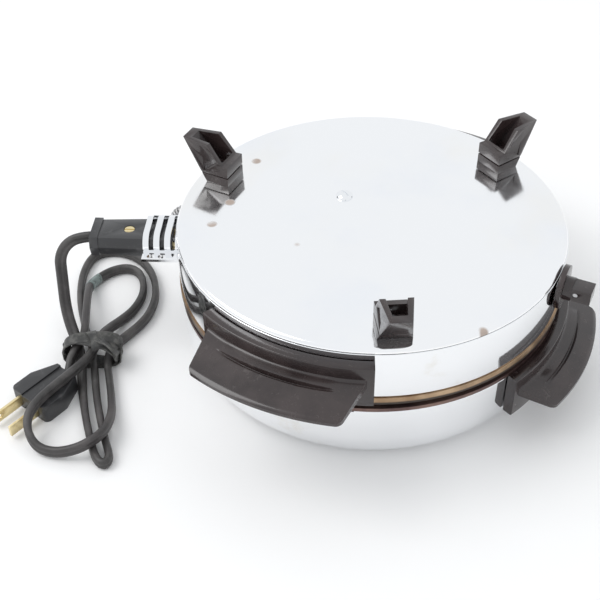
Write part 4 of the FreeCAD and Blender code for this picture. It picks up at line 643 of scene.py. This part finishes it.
# Bakelite handles: an upright plate with a sloping grip, its raised crescent and its finger groove
def make_handle(name, wall, reach, height, angle, body):
    inner, face = wall + 0.4, wall + 6.4 - 0.4
    drop, fall, side, corner = 7.5, 5.5, 41.0, 2.4
    ridge, ledge, half_ledge = face + 5.4, 1.5, math.radians(15.5)

    def surface(r, theta):
        """Height of the grip's upper face."""
        z = -drop - fall * (r - face) / (reach - face)
        z += 0.5 * max(0, 1 - (r - face) / 1.0) ** 2 - 0.7 * max(0, (r - reach + 1.8) / 1.8) ** 1.5
        share = 1 - (theta / half_ledge) ** 2
        if share > 0:
            if r <= ridge:
                z += ledge * share ** 0.6 * (max(r - face + 1.5, 0) / (ridge - face + 1.5)) ** 0.8
            elif r < ridge + 1.6:
                z -= 1.1 * share ** 0.6 * max(0, 1 - (r - ridge - 0.5) / 1.1 if r > ridge + 0.5 else 1)
        return z

    def half_width(r):
        """Half the grip's width, less at its round corners."""
        past = max(0, r - (reach - corner))
        taper = 2.2 * (r - face) / (reach - face)
        return side - taper - corner + math.sqrt(max(corner ** 2 - past ** 2, 0))

    stops = [face - 2 + 0.6 * k for k in range(int((ridge - face + 1.4) / 0.6))]
    stops += [ridge - 0.25, ridge, ridge + 0.18, ridge + 0.5, ridge + 0.9, ridge + 1.3, ridge + 1.7]
    stops += [ridge + 2.4 + (reach - corner - ridge - 2.4) * k / 8 for k in range(9)]
    stops += [reach - corner + corner * math.sin(math.pi / 2 * k / 8) for k in range(1, 9)]
    columns = 64
    points, faces = [], []
    for level in (0, 1):
        for r in stops:
            for k in range(columns + 1):
                theta = (2 * k / columns - 1) * math.asin(half_width(r) / r)
                x, y = r * math.cos(theta), r * math.sin(theta)
                if level:
                    thick = 4.6 - 2.2 * (r - face) / (reach - face)
                    z = -drop - fall * (r - face) / (reach - face) - thick
                else:
                    z = surface(r, theta)
                points.append(mm(x, y, z))
    wide, rows = columns + 1, len(stops)
    count = wide * rows
    for i in range(rows - 1):
        for k in range(columns):
            a = i * wide + k
            faces.append((a, a + wide, a + wide + 1, a + 1))
            faces.append((count + a, count + a + 1, count + a + wide + 1, count + a + wide))
    for k in range(columns):
        a, b = k, (rows - 1) * wide + k
        faces += [(a, a + 1, count + a + 1, count + a), (b, count + b, count + b + 1, b + 1)]
    for i in range(rows - 1):
        a, b = i * wide, i * wide + columns
        faces += [(a, count + a, count + a + wide, a + wide), (b, b + wide, count + b + wide, count + b)]
    start = len(points)
    sweep_angle, cuts = math.radians(24.5), 40
    section = rounded([(inner, -24), (face, -24), (face, 0), (inner, 0)], {1: 1.0, 2: 0.7, 3: 0.7, 0: 0.5}, 3)
    ring = len(section)
    for k in range(cuts + 1):
        a = (2 * k / cuts - 1) * sweep_angle
        points += [mm(u * math.cos(a), u * math.sin(a), v) for u, v in section]
    for k in range(cuts):
        for i in range(ring):
            j, row = (i + 1) % ring, start + k * ring
            faces.append((row + i, row + j, row + ring + j, row + ring + i))
    faces += [tuple(range(start + ring - 1, start - 1, -1)),
              tuple(range(start + cuts * ring, start + (cuts + 1) * ring))]
    mesh = build_mesh(name, points, faces)
    tidy_normals(mesh)
    mesh.transform(Matrix.Translation(mm(0, 0, height)) @ Matrix.Rotation(math.radians(angle), 4, "Z"))
    mesh.shade_smooth()
    mesh.materials.append(BAKELITE)
    piece = new_object(f"{name}_moulding", mesh)
    round_edges(piece, 0.7, 3, 38)
    finish_piece(piece, body, "bakelite", name)
    return piece


def round_edges(piece, width, segments=2, limit=35):
    """Rounds a piece's edges with a bevel and bakes it in."""
    bevel = piece.modifiers.new("rounded", "BEVEL")
    bevel.width = width * MM
    bevel.segments = segments
    bevel.limit_method = "ANGLE"
    bevel.angle_limit = math.radians(limit)
    bevel.harden_normals = True
    settle(piece)


def settle(piece):
    """Turns a piece and its modifiers into one plain mesh."""
    graph = bpy.context.evaluated_depsgraph_get()
    mesh = bpy.data.meshes.new_from_object(piece.evaluated_get(graph))
    piece.modifiers.clear()
    piece.data = mesh


def softened(node, finish, body, slot, width, segments=2, name=None):
    """A copy of a CAD piece with its flat faces joined and its edges rounded; it stands for that piece."""
    mesh = nodes[node].data.copy()
    shape = bmesh.new()
    shape.from_mesh(mesh)
    bmesh.ops.remove_doubles(shape, verts=shape.verts, dist=2e-6)
    bmesh.ops.dissolve_limit(shape, angle_limit=math.radians(2), verts=shape.verts, edges=shape.edges)
    shape.to_mesh(mesh)
    shape.free()
    mesh.materials.clear()
    mesh.materials.append(finish)
    mesh.shade_smooth()
    piece = new_object(name or f"{node}_rounded", mesh)
    round_edges(piece, width, segments)
    finish_piece(piece, body, slot, node)
    return piece


# Foot screws: one turned screw, set on a circle by geometry nodes
FOOT_COUNT, FOOT_SCREW_CIRCLE, FOOT_FLOOR = 3, 87.5, 6.5


def screw_circle():
    """Node group that repeats a screw round the vertical axis; its inputs are the count and the place."""
    group = bpy.data.node_groups.new("screw_circle", "GeometryNodeTree")
    face = group.interface
    face.new_socket("Count", in_out="INPUT", socket_type="NodeSocketInt")
    face.new_socket("Radius", in_out="INPUT", socket_type="NodeSocketFloat")
    face.new_socket("Height", in_out="INPUT", socket_type="NodeSocketFloat")
    face.new_socket("First angle", in_out="INPUT", socket_type="NodeSocketFloat")
    face.new_socket("Slot turn seed", in_out="INPUT", socket_type="NodeSocketInt")
    face.new_socket("Screw", in_out="INPUT", socket_type="NodeSocketObject")
    face.new_socket("Finish", in_out="INPUT", socket_type="NodeSocketMaterial")
    face.new_socket("Geometry", in_out="OUTPUT", socket_type="NodeSocketGeometry")

    def add(kind, **settings):
        made = group.nodes.new(kind)
        for key, setting in settings.items():
            setattr(made, key, setting)
        return made

    given, result = add("NodeGroupInput"), add("NodeGroupOutput")
    circle, source = add("GeometryNodeMeshCircle"), add("GeometryNodeObjectInfo")
    placed, turned = add("GeometryNodeTransform"), add("ShaderNodeCombineXYZ")
    lift, spin = add("ShaderNodeCombineXYZ"), add("ShaderNodeCombineXYZ")
    chance = add("FunctionNodeRandomValue")
    stand, real = add("GeometryNodeInstanceOnPoints"), add("GeometryNodeRealizeInstances")
    finish = add("GeometryNodeSetMaterial")
    link = group.links.new
    chance.inputs[3].default_value = math.pi
    link(given.outputs["Count"], circle.inputs["Vertices"])
    link(given.outputs["Radius"], circle.inputs["Radius"])
    link(given.outputs["Height"], lift.inputs["Z"])
    link(given.outputs["First angle"], turned.inputs["Z"])
    link(given.outputs["Slot turn seed"], chance.inputs["Seed"])
    link(given.outputs["Screw"], source.inputs["Object"])
    link(given.outputs["Finish"], finish.inputs["Material"])
    link(circle.outputs["Mesh"], placed.inputs["Geometry"])
    link(lift.outputs[0], placed.inputs["Translation"])
    link(turned.outputs[0], placed.inputs["Rotation"])
    link(placed.outputs[0], stand.inputs["Points"])
    link(source.outputs["Geometry"], stand.inputs["Instance"])
    link(chance.outputs[1], spin.inputs["Z"])
    link(spin.outputs[0], stand.inputs["Rotation"])
    link(stand.outputs[0], real.inputs[0])
    link(real.outputs[0], finish.inputs["Geometry"])
    link(finish.outputs[0], result.inputs[0])
    return group


def screw_mesh():
    """A round-headed screw with its nut below, and a slot across the head; the floor is at zero."""
    rows = [(0, 2.3), (1.2, 2.2), (2.2, 1.75), (2.9, 1.0), (3.25, 0.25), (3.25, 0), (1.75, 0), (1.75, -7.6),
            (3.2, -7.6), (3.2, -9.9), (1.75, -9.9), (1.75, -12.4), (0, -12.4)]
    points, faces, steps = [], [], 24
    for u, v in rows:
        points += [mm(u * math.cos(a), u * math.sin(a), v)
                   for a in (2 * math.pi * k / steps for k in range(steps))]
    for i in range(len(rows) - 1):
        row, above = i * steps, (i + 1) * steps
        faces += [(row + k, above + k, above + (k + 1) % steps, row + (k + 1) % steps) for k in range(steps)]
    mesh = build_mesh("foot_screw", points, faces)
    tidy_normals(mesh)
    mesh.shade_smooth()
    mesh.set_sharp_from_angle(angle=math.radians(40))
    return mesh


def make_foot_screws():
    screw = new_object("foot_screw_pattern", screw_mesh())
    slot = new_object("foot_screw_slot", build_mesh("slot", [
        mm(x, y, z) for z in (1.5, 3.0) for x, y in ((-4, -0.4), (4, -0.4), (4, 0.4), (-4, 0.4))],
        [(3, 2, 1, 0), (4, 5, 6, 7), (0, 1, 5, 4), (1, 2, 6, 5), (2, 3, 7, 6), (3, 0, 4, 7)], False))
    opening = screw.modifiers.new("slot", "BOOLEAN")
    opening.object, opening.operation, opening.solver = slot, "DIFFERENCE", "EXACT"
    settle(screw)
    host = new_object("foot_screw_set", bpy.data.meshes.new("foot_screw_set"))
    modifier = host.modifiers.new("screw circle", "NODES")
    modifier.node_group = screw_circle()
    wanted = {"Count": FOOT_COUNT, "Radius": FOOT_SCREW_CIRCLE * MM, "Height": (PLATE_TOP + FOOT_FLOOR) * MM,
              "First angle": math.radians(FOOT_ANGLES["foot_rear"]), "Slot turn seed": 7, "Screw": screw,
              "Finish": CHROME}
    for socket in modifier.node_group.interface.items_tree:
        if socket.name in wanted and socket.in_out == "INPUT":
            modifier[socket.identifier] = wanted[socket.name]
    bpy.context.view_layer.update()
    settle(host)
    for helper in (screw, slot):
        bpy.data.objects.remove(helper)
    finish_piece(host, "base", "chrome", "foot_screws")


def dress(finish, *names):
    """Gives CAD pieces their finish as they are."""
    for name in names:
        for slot in nodes[name].material_slots:
            slot.material = finish


make_shells()
make_handle("side_handle_left", WALL_RADIUS, 128.0, 74.0, 180, "base")
make_handle("side_handle_right", WALL_RADIUS, 128.0, 74.0, 0, "base")
make_handle("lid_handle", LID_RADIUS, 122.0, 41.0, 270, "lid")
for foot in FOOT_ANGLES:
    softened(foot, BAKELITE, "base", "bakelite", 0.45)
for half in ("plug_upper_half", "plug_lower_half"):
    softened(half, PLUG_BLACK, "base", "plug_plastic", 0.5)
softened("control_knob", BAKELITE, "control", "bakelite", 0.7, 3)
softened("wall_plug", WALL_PLUG_BLACK, "lid", "plug_plastic", 1.4, 3)
make_tie()
make_tape(cord_path)
make_foot_screws()
softened("wall_plug_blades", BRASS, "lid", "brass", 0.2)
dress(CASTING, "base_grid")
dress(BURNT, "lid_grid")
dress(CHROME, "plug_guard", "plate_screw")
dress(BRASS, "terminal_pins", "plug_contacts", "plug_screw")
dress(STEEL, "side_handle_left_screws", "side_handle_right_screws", "lid_handle_screws", "knob_set_screw",
      "lid_hinge_bracket", "base_hinge_bracket", "lid_hinge_rivets", "base_hinge_rivets", "hinge_pin",
      "lid_lead_conduit", "control_shaft", "lid_baffle", "base_baffle", "thermostat_blades")
dress(STEATITE, "base_insulators", "lid_insulators", "terminal_block", "thermostat_body")
dress(HEATED_STEEL, "base_element", "lid_element")
